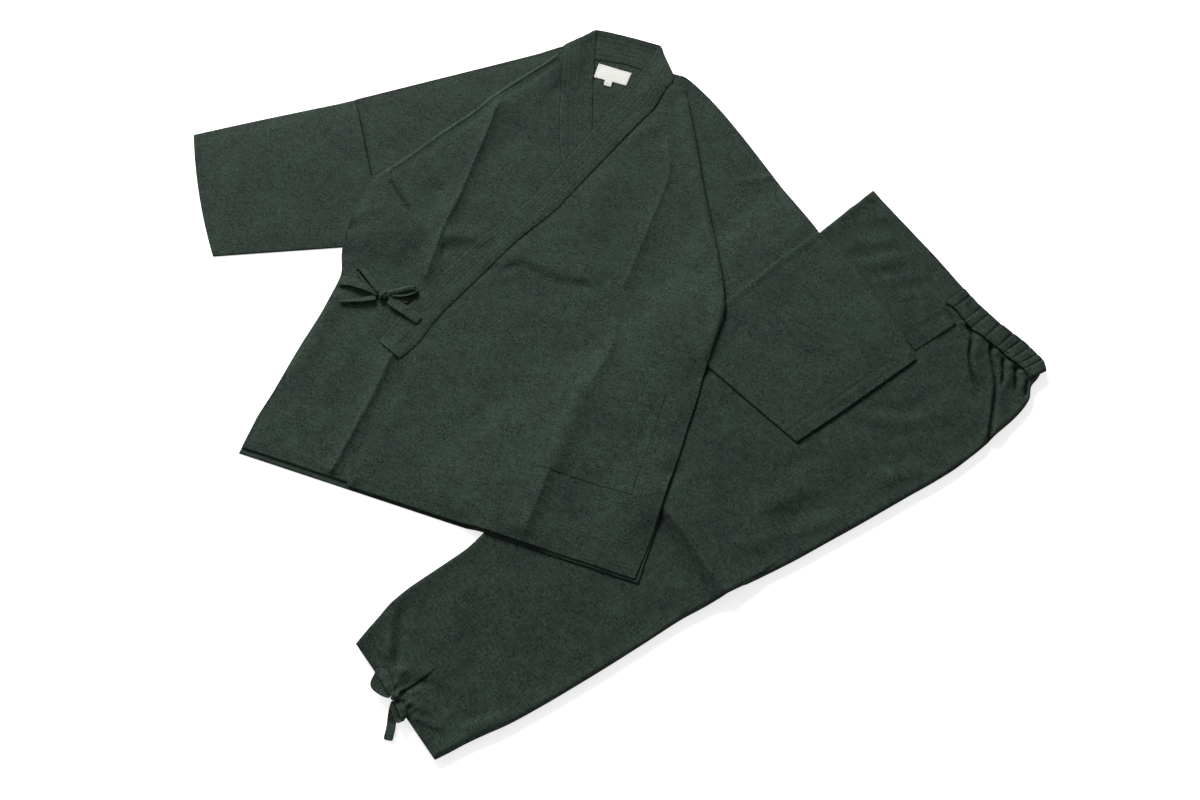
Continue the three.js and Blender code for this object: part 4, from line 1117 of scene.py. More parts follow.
# ---------- jacket ----------
@dataclass
class Jacket:
    """The jacket: back, sleeves, fronts, neckband, pocket and label."""

    tailor: Tailor
    step: float = 4.0
    armhole_top: tuple[float, float] = (196, 368.5)
    armhole_foot: tuple[float, float] = (415, 230)
    shoulder_reach: float = 0.76
    # down, band edge, crease, side edge
    left_front: Sequence[Sequence[float]] = (
        (16, 74, 88, 109), (46, 68, 93, 123), (88, 55, 103, 145), (133, 37, 118, 167), (183, 17, 134, 191),
        (233, 1, 132, 217), (287, -20, 129, 244), (337, -49, 126, 266), (381, -68, 124, 277), (430, -90, 131, 276),
        (470, -107, 140, 276), (511, -123, 130, 278), (553, -132, 123, 278), (581, -140, 123, 279),
        (646, -138, 120, 278), (710, -139, 120, 279), (778, -139, 120, 275))
    # down, side edge, crease, band edge
    right_front: Sequence[Sequence[float]] = (
        (14, -100, -97, -92), (34, -112, -97, -79), (74, -139, -110, -67), (115, -166, -140, -56),
        (155, -187, -157, -42), (213, -224, -155, -20), (272, -259, -155, 5), (327, -294, -156, 29),
        (360, -294, -158, 45), (394, -292, -157, 61), (445, -286, -154, 83), (487, -272, -153, 103),
        (535, -274, -152, 126), (606, -283, -154, 140), (685, -291, -158, 140), (732, -297, -163, 140),
        (773, -298, -167, 140))
    # down, right edge, left edge
    back: Sequence[Sequence[float]] = (
        (-8, -86, 92), (6, -105, 126), (34, -144, 169.5), (86, -216, 237), (141, -292.3, 303), (196, -368.5, 368.5),
        (334, -281.2, 281.2), (388, -283, 275), (440, -277, 274), (487, -269, 274), (545, -272, 275),
        (606, -281, 276), (650, -286, 277), (690, -290, 281), (735, -295, 281), (782, -299, 281))
    # outer down, outer across, inner down, inner across
    left_band: Sequence[Sequence[float]] = (
        (-3, 83, -50, 46), (8, 86, -12, 37), (30, 80, 10, 31), (61, 74, 43, 24), (88, 63, 70, 14), (123, 49, 105, 3),
        (183, 26, 165, -17), (235, 7, 217, -34), (284, -12, 266, -50), (337, -41, 316, -75), (377, -59, 356, -98),
        (417, -76, 396, -117), (465, -97, 445, -140), (511, -115, 494, -160), (548, -124, 530, -171),
        (581, -140, 564, -179))
    right_band: Sequence[Sequence[float]] = (
        (1, -96, -46, -58), (20, -91, -8, -47), (40, -85, 24, -38), (81, -74, 65, -26), (121, -62, 105, -13),
        (157, -49, 140, -2), (190, -36, 172, 10), (245, -13, 226, 32), (300, 11, 280, 55), (370, 43, 349, 87),
        (440, 75, 420, 119), (510, 107, 490, 151), (581, 140, 561, 184))
    back_band: Sequence[Sequence[float]] = (
        (-1, -93, 9, -88), (-24, -75, 10, -70), (-46, -57, 8, -50), (-49, -22, 3, -20), (-50, 12, 0, 8),
        (-50, 45, 1, 34), (-27, 63, 6, 58), (-4, 82, 10, 78))
    band_rows: int = 6
    left_creases: Sequence[Crease] = (
        Crease([(104, 104), (133, 118), (183, 132), (300, 128), (381, 124)], 2.6, (12, 10), Profile.SHARP, (0.1, 0.1)),
        Crease([(381, 124), (470, 139), (545, 127), (615, 121), (687, 118), (778, 115)], 5.0, (32, 20), Profile.SHARP,
               (0.22, 0.05)),
        Crease([(170, 55), (250, 42), (325, 55)], 2.6, (30, 42)),
        Crease([(398, -84), (384, -57), (374, -23), (376, 34), (370, 84), (366, 116)], 2.2, (18, 40), ends=(0.1, 0.2)),
        Crease([(414, -60), (386, -23), (394, 34), (384, 84), (384, 100)], -1.7, (8, 8), ends=(0.2, 0.2)),
        Crease([(372, 98), (384, 110), (394, 124)], 1.4, (8, 8)),
        Crease([(440, -20), (450, 40), (445, 90)], 1.4, (18, 22)),
        Crease([(548, 56), (558, 78), (560, 98)], -1.4, (12, 12)),
        Crease([(560, 267), (640, 265), (710, 267)], 1.2, (20, 9), ends=(0.3, 0.3)),
        Crease([(26, 110), (60, 127), (133, 163), (183, 187), (233, 213), (287, 240), (337, 262), (381, 273),
                (480, 272)], 4.8, (16, 7), ends=(0.04, 0.2)),
        Crease([(600, -60), (640, 10), (650, 70)], 1.2, (24, 26)),
        Crease([(700, -90), (715, -20), (712, 60)], 1.2, (20, 24)),
        Crease([(520, 160), (600, 185), (690, 180)], 1.4, (26, 26)),
        Crease([(90, 96), (110, 70), (150, 52)], 1.7, (14, 16)),
    )
    right_creases: Sequence[Crease] = (
        # a painted highlight along this crest
        Crease([(112, -160), (155, -156), (192, -155), (298, -155), (360, -158), (466, -152)], 5.2, (24, 13),
               Profile.SHARP, (0.08, 0.1), 0.8, 1.6),
        Crease([(280, -196), (330, -187), (376, -182)], -2.4, (26, 15)),
        # a painted highlight along the folded edge
        Crease([(18, -95), (38, -109), (77, -136), (118, -163), (158, -184), (216, -221), (275, -256), (318, -284)],
               1.5, (2.8, 2.8), ends=(0.02, 0.04), painted_shade=1.5),
        Crease([(26, -90), (46, -103), (84, -128), (125, -155), (165, -176), (222, -212), (281, -247)], -0.7, (5, 7),
               ends=(0.1, 0.1)),
        # painted shade in this short trough
        Crease([(312, -266), (336, -236), (360, -204)], -2.0, (2.4, 2.4), ends=(0.1, 0.3), painted_shade=-2.6),
        Crease([(399, -298), (380, -278), (362, -250)], 1.2, (9, 11), ends=(0.05, 0.3)),
        Crease([(420, -292), (404, -276), (392, -256)], -1.3, (9, 9), ends=(0.1, 0.3)),
        Crease([(386, -300), (384, -250), (384, -205), (394, -164)], 4.6, (80, 80), ends=(0.02, 0.3)),
        Crease([(376, -152), (368, -125), (362, -92)], 3.0, (9, 22), ends=(0.1, 0.05)),
        Crease([(396, -150), (392, -128), (384, -108)], -3.0, (16, 9), ends=(0.1, 0.1)),
        Crease([(500, -266), (560, -268), (620, -276), (700, -286)], 3.1, (8, 26), ends=(0.1, 0.4)),
        Crease([(540, -240), (600, -215), (680, -210)], 1.9, (26, 26)),
        Crease([(566, -152), (640, -155), (700, -160), (773, -167)], 4.6, (18, 9), Profile.SHARP, (0.02, 0.04)),
        Crease([(190, -120), (230, -80), (250, -40)], 1.4, (18, 20)),
        Crease([(280, -120), (310, -80), (320, -40)], 1.4, (16, 18)),
        Crease([(690, -270), (715, -230), (720, -190)], 1.2, (20, 22)),
    )
    pocket_corners: Line = ((531, 96), (514, 235), (672, 99), (671, 235))
    pocket_hem: float = 22.0
    label_corners: Line = ((12, -34), (13, 20), (38, -33), (37, 19))
    tab_corners: Line = ((37.6, -15), (37.4, -3), (47, -14), (47, -3))

    def build(self) -> None:
        """Builds the jacket from the back panel up."""
        self.back_panel()
        self.neckband("neckband_back", self.back_band, 51, ["back"], 0.2, 0.20, 5, 4.0)
        under = self.tailor.ground.bridge()
        self.sleeve("sleeve_right", -1, (333, 580), (515, 463), 1, 6, 0, 9, under, 52)
        self.sleeve("sleeve_left", 1, (348, 555), (524, 427), 10, 1, 16, 19, under, 53)
        self.shoulder("front_right_shoulder", -1, 0, under, 54)
        self.shoulder("front_left_shoulder", 1, 17, under, 55,
                      [Crease([(123, 280), (140, 250), (160, 218)], 1.6, (7, 4), ends=(0.02, 0.4)),
                       Crease([(230, 250), (262, 262), (296, 268)], 1.2, (14, 14))])
        self.front_right()
        self.label()
        self.neckband("neckband_right", self.right_band, 57, ["front_right"], 0.2, 0.20)
        self.front_left()
        self.neckband("neckband_left", self.left_band, 59, ["front_left"], 0.2, 0.12)
        self.pocket()

    def back_panel(self) -> None:
        """The back, hidden but for its edges, the neck and the slits."""
        down = graded(self.back[0][0], self.back[-1][0], 8.0, [(775, 20, 3.0), (10, 30, 4.0)])
        data = np.asarray(self.back, float)
        right, left = (np.interp(down, data[:, 0], data[:, k]) for k in (1, 2))
        across = fill([right, left], [shares(580, 8.0, 14, 14, 2.5)])
        piece = Piece("back", JACKET, np.repeat(down[:, None], across.shape[1], 1), across, wall=0.9, seed=50)
        self.tailor.lay(piece, self.tailor.ground.bridge(), hems=[Hem("end", 20, 0.3, sewn=(0, 0))], air=0.3,
                        wave=0.3, edge_roll=0.4, rests_on=["floor", "left_leg_front", "left_leg_back"])

    def sleeve(self, name: str, side: int, cuff_top: tuple[float, float], cuff_foot: tuple[float, float],
               top_bow: float, cuff_bow: float, sag: float, hem: float, under: Bed, seed: int) -> None:
        """One sleeve: a flat tube from the armhole seam to the cuff, front and back in one wall.

        Args:
            name: its solid's name.
            side: -1 right, 1 left.
            cuff_top, cuff_foot: the cuff's corners, across counted outwards.
            top_bow, cuff_bow: how far the upper edge and the cuff bow outwards.
            sag: how far the lower edge sags near the armhole.
            hem: the cuff hem's width.
            under: what it lies on.
            seed: of its unevenness.

        The cross-section runs over the front, round the lower fold, back below and round the upper
        fold, once for the outside and once, a wall further in, for the inside.
        """
        length, breadth, wide_hem = 300.0, 220.0, hem > 12
        t = graded(0, length, self.step, [(length, 26, 2.0), (0, 18, 2.2)])[:, None] / length
        u = graded(0, breadth, self.step, [(0, 9, 1.6), (breadth, 9, 1.6)])[None, :] / breadth
        top, foot = np.array(self.armhole_top), np.array(self.armhole_foot)
        seam = top + (foot - top) * u[..., None] + np.array([0.16, 0.25])
        cuff = np.array(cuff_top) + (np.array(cuff_foot) - np.array(cuff_top)) * u[..., None]
        grid = seam + (cuff - seam) * t[..., None]
        upper = 4 * t * (1 - t) * top_bow * (1 - u)
        end = 4 * u * (1 - u) * cuff_bow * t
        foot_sag = sag * (1 - t) * smoothstep(t / 0.2) * smoothstep((u - 0.55) / 0.45)
        down = grid[..., 0] - 0.82 * upper + 0.54 * end + 0.87 * foot_sag
        across = side * (grid[..., 1] + 0.58 * upper + 0.84 * end - 0.48 * foot_sag)
        piece = Piece(name, JACKET, down, across, wall=0.8, seed=seed)
        plan = JACKET.plan(down, across)
        folds = np.minimum(piece.reach_from("first"), piece.reach_from("last"))
        rest = self.tailor.ground.read(plan, under.close)
        wide = self.tailor.ground.read(plan, under.wide) - rest
        rest = rest + wide * smoothstep(np.minimum(piece.reach_from("last"), piece.reach_from("end")) / 50)
        rest = lapped(rest, LAP)
        waves = Waves(seed)
        free = smoothstep(folds / 26)
        wall, air = piece.wall, 0.5
        cuff_far = piece.reach_from("end")
        full = air + 0.8 * free + 0.7 * (0.5 + 0.5 * waves.field(down, across, 85)) * free
        full = full + 3.4 * np.exp(-(((u - 0.32) / 0.24) ** 2)) * (0.55 + 0.45 * (1 - t)) * free
        high = 2 * wall + full * (0.08 + 0.92 * smoothstep(cuff_far / 60))
        high = high + 0.12 * (1 + waves.field(down, across, 16)) * smoothstep(folds / 8)
        in_hem = 1 - smoothstep((cuff_far - hem) / 1.8 + 0.5)
        at_stitch = np.exp(-(((cuff_far - hem) / 1.6) ** 2))
        pucker = np.maximum(waves.field(down, across, 10), 0) * np.exp(-(((cuff_far - hem) / 9) ** 2))
        high = high + 0.35 * in_hem - 0.5 * at_stitch + (0.9 if wide_hem else 0.2) * pucker
        seam_far = piece.reach_from("start")
        high = high + 0.7 * np.exp(-((seam_far - 5) / 5) ** 2) - 0.3 * np.exp(-((seam_far - 12) / 2.2) ** 2)
        half = high / 2
        centre = rest + half
        arc = half * np.sqrt(1 - (1 - np.clip(folds / half, 0, 1)) ** 2)
        solid = Solid()
        grain = piece.grain()
        # painted shade: a dark line along the folds and the cuff
        painted_shade = -0.7 * (1 - smoothstep(np.minimum(folds, cuff_far) / EDGE_SHADE_WIDTH))
        ring_grain = np.concatenate([grain, grain[:, ::-1][:, 1:-1] + 260], 1)
        ring_shade = np.concatenate([painted_shade, painted_shade[:, ::-1][:, 1:-1]], 1)
        width = np.linalg.norm(plan[:, -1:] - plan[:, :1], axis=-1, keepdims=True)
        middle = (plan[:, :1] + plan[:, -1:]) / 2
        inner_plan = middle + (plan - middle) * (1 - 2 * wall * 1.6 / width)
        ids = []
        for spread, lean in ((plan, np.maximum(arc, 0.0)), (inner_plan, np.maximum(arc - wall, 0.06))):
            ring = np.concatenate([raised(spread, centre + lean), raised(spread, centre - lean)[:, ::-1][:, 1:-1]], 1)
            ids.append(solid.add(ring, ring_grain, ring_shade))
        outer_ids, inner_ids = ids
        solid.quads.append(grid_faces(outer_ids, wraps=True))
        solid.quads.append(grid_faces(inner_ids, wraps=True)[:, ::-1])
        solid.quads.append(grid_faces(np.stack([outer_ids[0], inner_ids[0]]), wraps=True)[:, ::-1])
        solid.quads.append(grid_faces(np.stack([outer_ids[-1], inner_ids[-1]]), wraps=True))
        self.tailor.ground.lay(raised(plan, centre + arc))
        rows = [piece.inset("end", hem), piece.inset("start", 11.0)]
        self.tailor.sew(f"{name}_stitches", JACKET, rows,
                        finish=self.tailor.finishes.pale_thread if wide_hem else None)
        made = solid.build(f"{name}_cloth", self.tailor.finishes.cotton)
        width, reach = piece.flat()
        self.tailor.declare(made, name, COTTON, (2 * width, reach), 2 * piece.plan_area(), "laid",
                            ["floor", "left_leg_back"])

    def shoulder(self, name: str, side: int, bow: float, under: Bed, seed: int,
                 creases: Sequence[Crease] = ()) -> None:
        """The front's cloth between the shoulder line and the fold, up to the armhole seam."""
        top, foot = np.array(self.armhole_top), np.array(self.armhole_foot)
        reach = top + (foot - top) * self.shoulder_reach
        length, breadth = 330.0, 140.0
        t = graded(0, length, self.step, [(length, 10, 2.0)])[:, None] / length
        u = graded(0, breadth, self.step, [(0, 10, 2.0)])[None, :] / breadth
        start_outer, start_inner = np.array([-2.0, 90.0]), np.array([30.0, 72.0])
        swell = bow * np.sin(math.pi * np.sqrt(t))
        outer = start_outer + (top - start_outer) * t[..., None]
        outer = outer + swell[..., None] * np.array([-0.82, 0.58])
        inner = start_inner + (reach - start_inner) * t[..., None]
        grid = outer + (inner - outer) * u[..., None]
        piece = Piece(name, JACKET, grid[..., 0], side * grid[..., 1], wall=0.8, seed=seed)
        self.tailor.lay(piece, Bed(under.wide, under.wide), creases, air=1.6, edge_air=0.8, wave=0.5, edge_roll=0.4,
                        rests_on=["back"])

    def front(self, name: str, table: Sequence[Sequence[float]], widths: tuple[float, float], seed: int,
              fine_sides: tuple[float, float]) -> Piece:
        """A front panel's grid from its table, with closer columns at its crease and edges."""
        down = graded(table[0][0], table[-1][0], self.step, [(table[-1][0], 14, 1.8)])
        guides = rows_of(table, down, (1, 2, 3))
        across = fill(guides, [shares(widths[0], self.step, fine_sides[0], 10),
                               shares(widths[1], self.step, 10, fine_sides[1])])
        return Piece(name, JACKET, np.repeat(down[:, None], across.shape[1], 1), across, wall=0.8, seed=seed)

    def front_right(self) -> None:
        """The right front with its folded outer edge."""
        piece = self.front("front_right", self.right_front, (140, 190), 56, (9, 5))
        hems = [Hem("end", 20, 0.4, sewn=(0.0, 0.38))]
        self.tailor.lay(piece, self.tailor.ground.bridge(), self.right_creases, hems, air=0.8, fade=30,
                        edge_roll=0.5, rests_on=["back", "front_right_shoulder"])

    def front_left(self) -> None:
        """The left front, lapped over the right one."""
        piece = self.front("front_left", self.left_front, (230, 150), 58, (5, 9))
        hems = [Hem("end", 20, 0.4), Hem("first", 9, 0.3, 0.2, 0.1, (0.74, 1.0))]
        # rim gives a lighter painted shade along its edges
        self.tailor.lay(piece, self.tailor.ground.bridge(), self.left_creases, hems, air=0.6, fade=30, rim=0.7,
                        rests_on=["front_right", "back"])

    def neckband(self, name: str, stations: Sequence[Sequence[float]], seed: int, rests_on: list[str],
                 air: float, deep: float, rows: int | None = None, stand: float = 0.0) -> None:
        """A stretch of the neckband: soft ridges between its rows of stitching.

        Args:
            name: its solid's name.
            stations: outer and inner edge, station by station.
            seed: of its unevenness.
            rests_on: not used.
            air: how far it stands off.
            deep: how far the rows draw it in.
            rows: rows of stitching, by default the band's own.
            stand: how far its outer edge stands up.
        """
        rows = rows or self.band_rows
        data = np.asarray(stations, float)
        run = np.concatenate([[0], np.cumsum(np.linalg.norm(np.diff(data[:, :2], axis=0), axis=1))])
        at = graded(0, run[-1], 3.2, [(0, 6, 1.6), (run[-1], 6, 1.6)])
        outer = np.stack([soft(at, run, data[:, k]) for k in (0, 1)], -1)
        inner = np.stack([soft(at, run, data[:, k]) for k in (2, 3)], -1)
        seams, breadth = [k / (rows + 1) for k in range(1, rows + 1)], 48
        places = [(share, 0.02, 0.016) for share in seams]
        u = graded(0, 1, 0.028, [(0, 0.03, 0.014), (1, 0.03, 0.014), *places])
        grid = outer[:, None] + (inner - outer)[:, None] * u[None, :, None]
        piece = Piece(name, JACKET, grid[..., 0], grid[..., 1], wall=1.0, seed=seed)
        quilt = stand * np.exp(-u * breadth / 9)
        for share in seams:
            quilt -= deep * np.exp(-(((u - share) * breadth / 1.1) ** 2))
        extra = np.repeat(quilt[None], len(at), 0)
        # rim gives a strong painted shade along the band's free edges
        self.tailor.lay(piece, self.tailor.ground.bridge(0.004, 40, 5), extra=extra, air=air, wave=0.3, wave_length=60,
                        crumple=0.06, rim=2.6, lap=0.1, edge_roll=-0.6, level=["start", "end"], rests_on=rests_on)
        lines = [[tuple(p) for p in (outer + (inner - outer) * share)[3:-3:6]] for share in seams]
        self.tailor.sew(f"{name}_stitches", JACKET, lines)

    def pocket(self) -> None:
        """The patch pocket with its wide top hem and edge stitching."""
        piece = patch("pocket", JACKET, self.pocket_corners, (76, 64), 0.35, 60)
        pale = self.tailor.finishes.pale_thread
        hems = [Hem("start", self.pocket_hem, 0.2, 0.2, 0.2)]
        hems += [Hem(side, 2, 0.0, 0.0, 0.1) for side in ("end", "first", "last")]
        self.tailor.lay(piece, hems=hems, air=0.2, edge_air=-0.8, wave=0.2, rim=0.0, lap=0.02, thread=pale,
                        rests_on=["front_left"])
        (d0, a0), (d1, a1) = self.pocket_corners[:2]
        tacks = [[(d + 3.0 * k - 1.5, a), (d + 3.0 * k - 1.5, a + way * 9)]
                 for d, a, way in ((d0, a0 + 2, 1), (d1, a1 - 2, -1)) for k in range(3)]
        self.tailor.sew("pocket_tacks", JACKET, tacks, 1.6, 1.9, 0.7, 0.3, pale)

    def label(self) -> None:
        """The bare woven label and its tab."""
        tape = self.tailor.finishes.tape
        piece = patch("label", JACKET, self.label_corners, (20, 36), 0.7, 61)
        self.tailor.lay(piece, air=0.1, wave=0.1, crumple=0.03, rim=0.0, finish=tape, slot=LABEL, rests_on=["back"])
        rows = [piece.inset(side, 1.4) for side in ("start", "first", "last", "end")]
        self.tailor.sew("label_stitches", JACKET, rows, 2.4, 1.6, 0.4, 0.2, self.tailor.finishes.white_thread, LABEL)
        tab = patch("size_tab", JACKET, self.tab_corners, (10, 12), 0.6, 62)
        self.tailor.lay(tab, air=0.1, wave=0.0, crumple=0.0, rim=0.0, finish=tape, slot=LABEL, rests_on=["back"])


# ---------- ties ----------
@dataclass(frozen=True)
class Strip:
    """A run of tape: its middle line with, at each point, how far it is lifted, its roll and its width."""

    name: str
    spine: Sequence[tuple[float, float, float, float, float]]    # down, across, lift, roll, width
    rests_on: tuple[str, ...]


@dataclass
class Tie:
    """A bow or knot of sewn tape on a garment: its runs of tape and the knot that holds them."""

    tailor: Tailor
    axes: Axes
    strips: Sequence[Strip]
    knot_name: str
    knot_at: tuple[float, float]
    knot_size: tuple[float, float, float]
    knot_turn: float
    seed: int
    wall: float = 1.3
    ring: int = 20

    def build(self) -> None:
        """Builds the runs in order, then the knot."""
        base = self.tailor.ground.drape(0.05, 2.0)
        for k, strip in enumerate(self.strips):
            self.run(strip, base, self.seed + k)
        self.knot(base)

    def run(self, strip: Strip, base: Array, seed: int) -> None:
        """Sweeps the tape's flat section along its line.

        The section is a superellipse: width/2 cos^0.35 by wall/2 sin^0.7. It turns by the roll about the
        line, and the line stands high enough for the section's lower edge to rest on what is below.

        Args:
            strip: the run.
            base: the draped ground.
            seed: of its unevenness.
        """
        spine = walk(strip.spine, 1.3)
        plan = self.axes.plan(spine[:, 0], spine[:, 1])
        roll, width = np.radians(spine[:, 3]), spine[:, 4]
        rest = self.tailor.ground.read(plan, base) + LAP + spine[:, 2]
        z = rest + width / 2 * np.abs(np.sin(roll)) + self.wall / 2 * np.abs(np.cos(roll))
        centre = raised(plan, z)
        ahead = np.gradient(centre, axis=0)
        ahead /= np.linalg.norm(ahead, axis=1, keepdims=True)
        level = np.stack([-ahead[:, 1], ahead[:, 0], np.zeros(len(ahead))], -1)
        level /= np.linalg.norm(level, axis=1, keepdims=True)
        up = np.cross(ahead, level)
        side = level * np.cos(roll)[:, None] + up * np.sin(roll)[:, None]
        face = np.cross(ahead, side)
        turn = np.arange(self.ring) / self.ring * 2 * math.pi
        c, s = np.cos(turn), np.sin(turn)
        out = np.sign(c) * np.abs(c) ** 0.35
        over = np.sign(s) * np.abs(s) ** 0.7
        waves = Waves(seed)
        length = np.concatenate([[0], np.cumsum(np.linalg.norm(np.diff(centre, axis=0), axis=1))])
        ripple = 0.25 * waves.field(length[:, None] * np.ones(self.ring), out[None] * width[:, None] / 2, 11)
        shrink = np.array([0.35, 0.8] + [1.0] * (len(centre) - 4) + [0.8, 0.35])[:, None, None]
        width = width * np.array([0.72, 0.93] + [1.0] * (len(centre) - 4) + [0.93, 0.72])
        dish = 0.22 * (1 - out[None, :] ** 2) * np.cos(np.linspace(0, 9, len(centre)))[:, None]
        grid = (centre[:, None] + side[:, None] * (out[None, :, None] * width[:, None, None] / 2)
                + face[:, None] * (over[None, :, None] * self.wall / 2 * shrink + (ripple + dish)[..., None] * 0.6))
        grain = np.stack([np.repeat(out[None] * 7.5 + 31 * seed, len(centre), 0),
                          np.repeat(length[:, None] + 17 * seed, self.ring, 1)], -1)
        # painted highlight along the tape's two edges
        painted_shade = np.repeat((0.5 * np.abs(out[None]) ** 8), len(centre), 0)
        solid = Solid()
        ids = solid.add(grid, grain, painted_shade)
        solid.quads.append(grid_faces(ids, wraps=True))
        half = self.ring // 2
        for row, way in ((ids[0], 1), (ids[-1], -1)):
            upper = row[: half + 1]
            lower = np.concatenate([row[:1], row[:half - 1:-1]])
            solid.quads.append(grid_faces(np.stack([upper, lower]))[:, ::way])
        made = solid.build(f"{strip.name}_cloth", self.tailor.finishes.cotton)
        flat = (max(float(width.max()), NARROWEST) * METRES, float(length[-1]) * METRES)
        area = float(np.sum(np.diff(length) * (width[1:] + width[:-1]) / 2)) * METRES**2
        self.tailor.declare(made, strip.name, COTTON, flat, area, "folded", strip.rests_on)

    def knot(self, base: Array) -> None:
        """The knot: a flattened ball whose surface is drawn in along two crossing turns of tape.

        The radius is a superellipsoid's, less a groove where the angle from the wrap's plane is near
        the tape's half width.
        """
        turn = math.radians(self.knot_turn)
        high = self.tailor.ground.read(self.axes.plan(*np.array(self.knot_at)[:, None]), base)[0] + LAP
        a = np.linspace(0, math.pi, 25)[:, None]
        b = np.arange(40)[None, :] / 40 * 2 * math.pi
        x, y, z = np.sin(a) * np.cos(b), np.sin(a) * np.sin(b), np.cos(a) * np.ones_like(b)
        across_wrap = x * math.cos(turn) + y * math.sin(turn)
        groove = np.exp(-(((np.abs(across_wrap) - 0.55) / 0.10) ** 2))
        waves = Waves(self.seed + 50)
        bump = 1 - 0.20 * groove + 0.05 * waves.field(x * 8, y * 8 + z * 5, 6) + 0.05 * np.cos(6 * across_wrap)
        long, wide, tall = self.knot_size
        down = self.knot_at[0] + x * bump * long / 2
        across = self.knot_at[1] + y * bump * wide / 2
        up = high + tall / 2 + np.sign(z) * np.abs(z) ** 0.8 * bump * tall / 2
        grid = raised(self.axes.plan(down, across), up)
        solid = Solid()
        grain = np.stack([b * 6 + 0 * a, a * 6 + 0 * b], -1)
        # painted shade in the grooves where the tape wraps round
        ids = solid.add(grid, grain, -0.5 * groove)
        solid.quads.append(grid_faces(ids, wraps=True))
        made = solid.build(f"{self.knot_name}_cloth", self.tailor.finishes.cotton)
        self.tailor.claim(made, self.knot_name, COTTON)
        LOG.info("%s: %d faces", made.name, len(made.data.polygons))


SIDE_STRIPS = (
    Strip("tie_from_side", ((493, -271, 0.8, -4, 15), (490, -248, 2.2, -10, 15), (492, -226, 3.0, -12, 13),
                            (496, -208, 2.6, -8, 8)), ("front_right",)),
    Strip("tie_from_band", ((489, -163, 0.2, 0, 15), (491, -176, 0.8, 4, 14), (495, -192, 2.0, 4, 8)),
          ("front_right",)),
    Strip("tie_tail_left", ((525, -256, 0.4, -30, 4), (519, -242, 0.8, -28, 6), (512, -226, 1.6, -22, 8),
                            (503, -209, 2.6, -10, 9)), ("front_right",)),
    Strip("tie_tail_right", ((516, -136, 0.4, 2, 15), (511, -150, 1.0, 6, 15), (505, -172, 2.2, 8, 15),
                             (501, -190, 3.0, 4, 9)), ("front_right", "neckband_left")),
    Strip("tie_loop_left", ((492, -207, 2.4, 26, 9), (479, -226, 1.4, 34, 11), (468, -244, 1.0, 42, 9),
                            (467, -250, 0.8, 88, 4), (471, -251, 0.6, 120, 5), (485, -231, 0.4, 148, 8),
                            (495, -211, 1.2, 150, 7)), ("front_right",)),
    Strip("tie_loop_right", ((489, -195, 2.4, -30, 7), (479, -180, 2.0, -36, 8), (470, -166, 1.6, -50, 7),
                             (469, -159, 1.0, -88, 6), (475, -157, 0.6, -118, 6), (486, -171, 0.4, -140, 8),
                             (492, -188, 1.4, -145, 7)), ("front_right",)),
)
ANKLE_STRIPS = (
    Strip("ankle_tail", ((1016, 34, 0.2, -10, 13), (1006, 25, 0.4, -12, 13), (995, 13, 0.6, -10, 12),
                         (982, 0, 1.4, -4, 8)), ("floor", "left_leg_back")),
    Strip("ankle_loop_left", ((979, -7, 2.4, 8, 7), (976, -21, 2.6, 12, 12), (974, -35, 2.2, 10, 13),
                              (977, -43, 1.2, 0, 9), (982, -41, 0.4, 0, 8), (988.5, -32, 0.1, 0, 16),
                              (986, -19, 0.1, 0, 13), (982, -8, 0.4, 0, 7)), ("floor", "left_leg_front")),
    Strip("ankle_loop_right", ((979, 2, 1.8, -8, 8), (979, 13, 1.6, -14, 10), (982, 22, 1.2, -34, 10),
                               (987, 27, 0.6, -88, 7), (991, 24, 0.2, -140, 9), (988, 13, 0.2, -160, 10),
                               (983, 3, 0.6, -160, 8)), ("floor", "left_leg_back")),
)


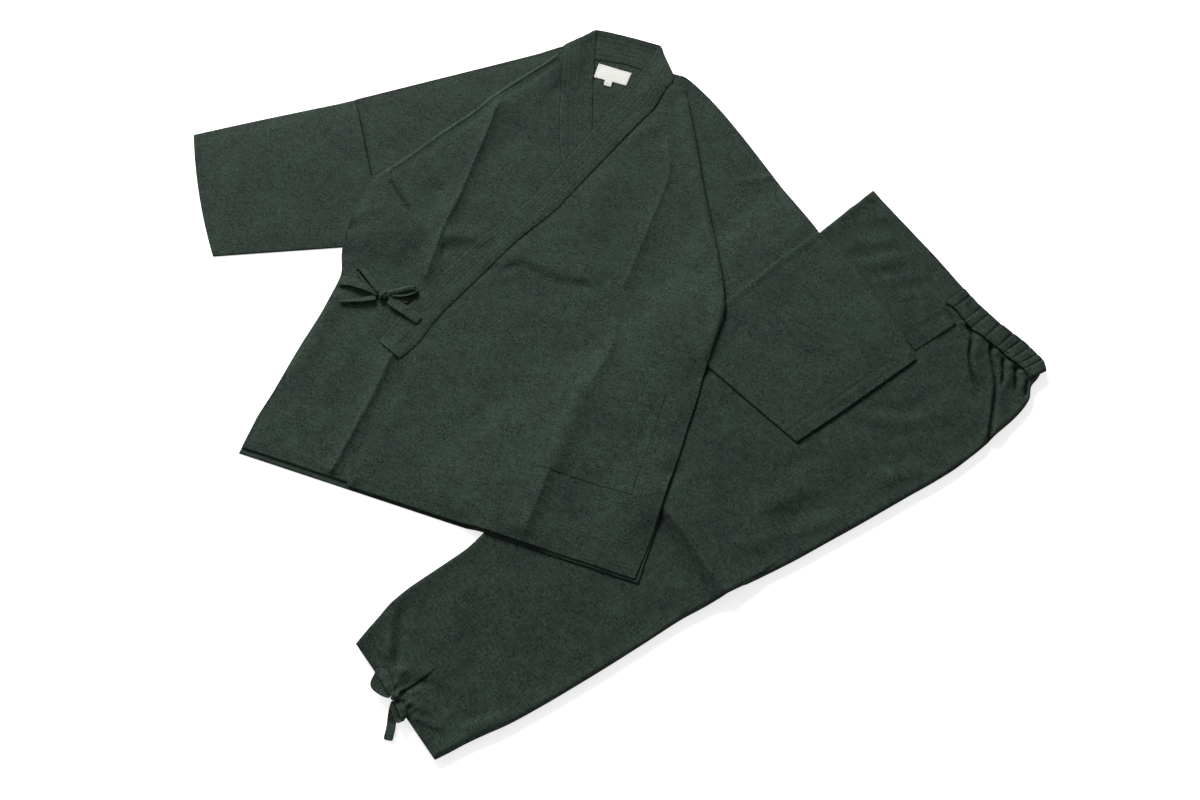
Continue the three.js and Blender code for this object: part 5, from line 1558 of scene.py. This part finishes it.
# ---------- scene ----------
@dataclass
class Studio:
    """A plain pale floor, soft light from the upper left and the camera above the front edge."""

    elevation: float = 68.5
    distance: float = 1.814
    lens: float = 38.67
    target: tuple[float, float] = (-MIDDLE[0] * METRES, -MIDDLE[1] * METRES)
    sky: float = 0.19
    # name, place, watts, size
    lamps: Sequence[tuple[str, tuple[float, float, float], float, float]] = (
        ("key", (-3.34, 8.17, 4.70), 1590.0, 3.4), ("side", (-2.2, 0.6, 1.6), 9.0, 1.4))

    def build(self) -> None:
        """Adds the floor, lights, world and camera."""
        self.floor()
        self.lights()
        self.camera()

    def floor(self) -> None:
        """A matt pale table top, softly lit from below as under product pictures."""
        size = 6.0
        mesh = bpy.data.meshes.new("floor")
        mesh.from_pydata([(-size, -size, 0), (size, -size, 0), (size, size, 0), (-size, size, 0)], [], [(0, 1, 2, 3)])
        floor = placed("floor", mesh)
        g = Graph("floor_pale")
        g.set(Base_Color=(0.90, 0.90, 0.895, 1.0), Roughness=0.9, Specular_IOR_Level=0.1,
              Emission_Color=(1.0, 1.0, 1.0, 1.0), Emission_Strength=0.7)
        mesh.materials.append(g.material)

    def lights(self) -> None:
        """One large key from behind the neck, a weak side light from the left and an even sky."""
        for name, place, energy, size in self.lamps:
            data = bpy.data.lights.new(name, "AREA")
            data.energy, data.size = energy, size
            lamp = placed(name, data)
            lamp.location = place
            lamp.rotation_euler = (-Vector(place)).to_track_quat("-Z", "Y").to_euler()
        world = bpy.data.worlds.new("studio")
        world.use_nodes = True
        sky = next(n for n in world.node_tree.nodes if n.type == "BACKGROUND")
        sky.inputs["Color"].default_value = (1, 1, 1, 1)
        sky.inputs["Strength"].default_value = self.sky
        bpy.context.scene.world = world
        bpy.context.scene.view_settings.view_transform = "Standard"

    def camera(self) -> None:
        """The camera: distance and elevation from a target on the floor."""
        data = bpy.data.cameras.new("camera")
        data.lens, data.sensor_width = self.lens, 36.0
        data.clip_start, data.clip_end = 0.05, 50.0
        camera = placed("camera", data)
        e = math.radians(self.elevation)
        back = Vector((0, -math.cos(e), math.sin(e)))
        camera.location = Vector((*self.target, 0)) + back * self.distance
        camera.rotation_euler = (-back).to_track_quat("-Z", "Y").to_euler()
        bpy.context.scene.camera = camera


def main() -> None:
    """Builds the studio, the trousers, the jacket and the ties."""
    Studio().build()
    tailor = Tailor(Ground(), Finishes())
    Trousers(tailor).build()
    Jacket(tailor).build()
    Tie(tailor, JACKET, SIDE_STRIPS, "tie_knot", (496, -200), (15, 13, 8.5), 70.0, 100).build()
    Tie(tailor, TROUSERS, ANKLE_STRIPS, "ankle_knot", (977, -4), (13, 12, 7.5), 20.0, 120).build()


if __name__ == "__main__":
    main()
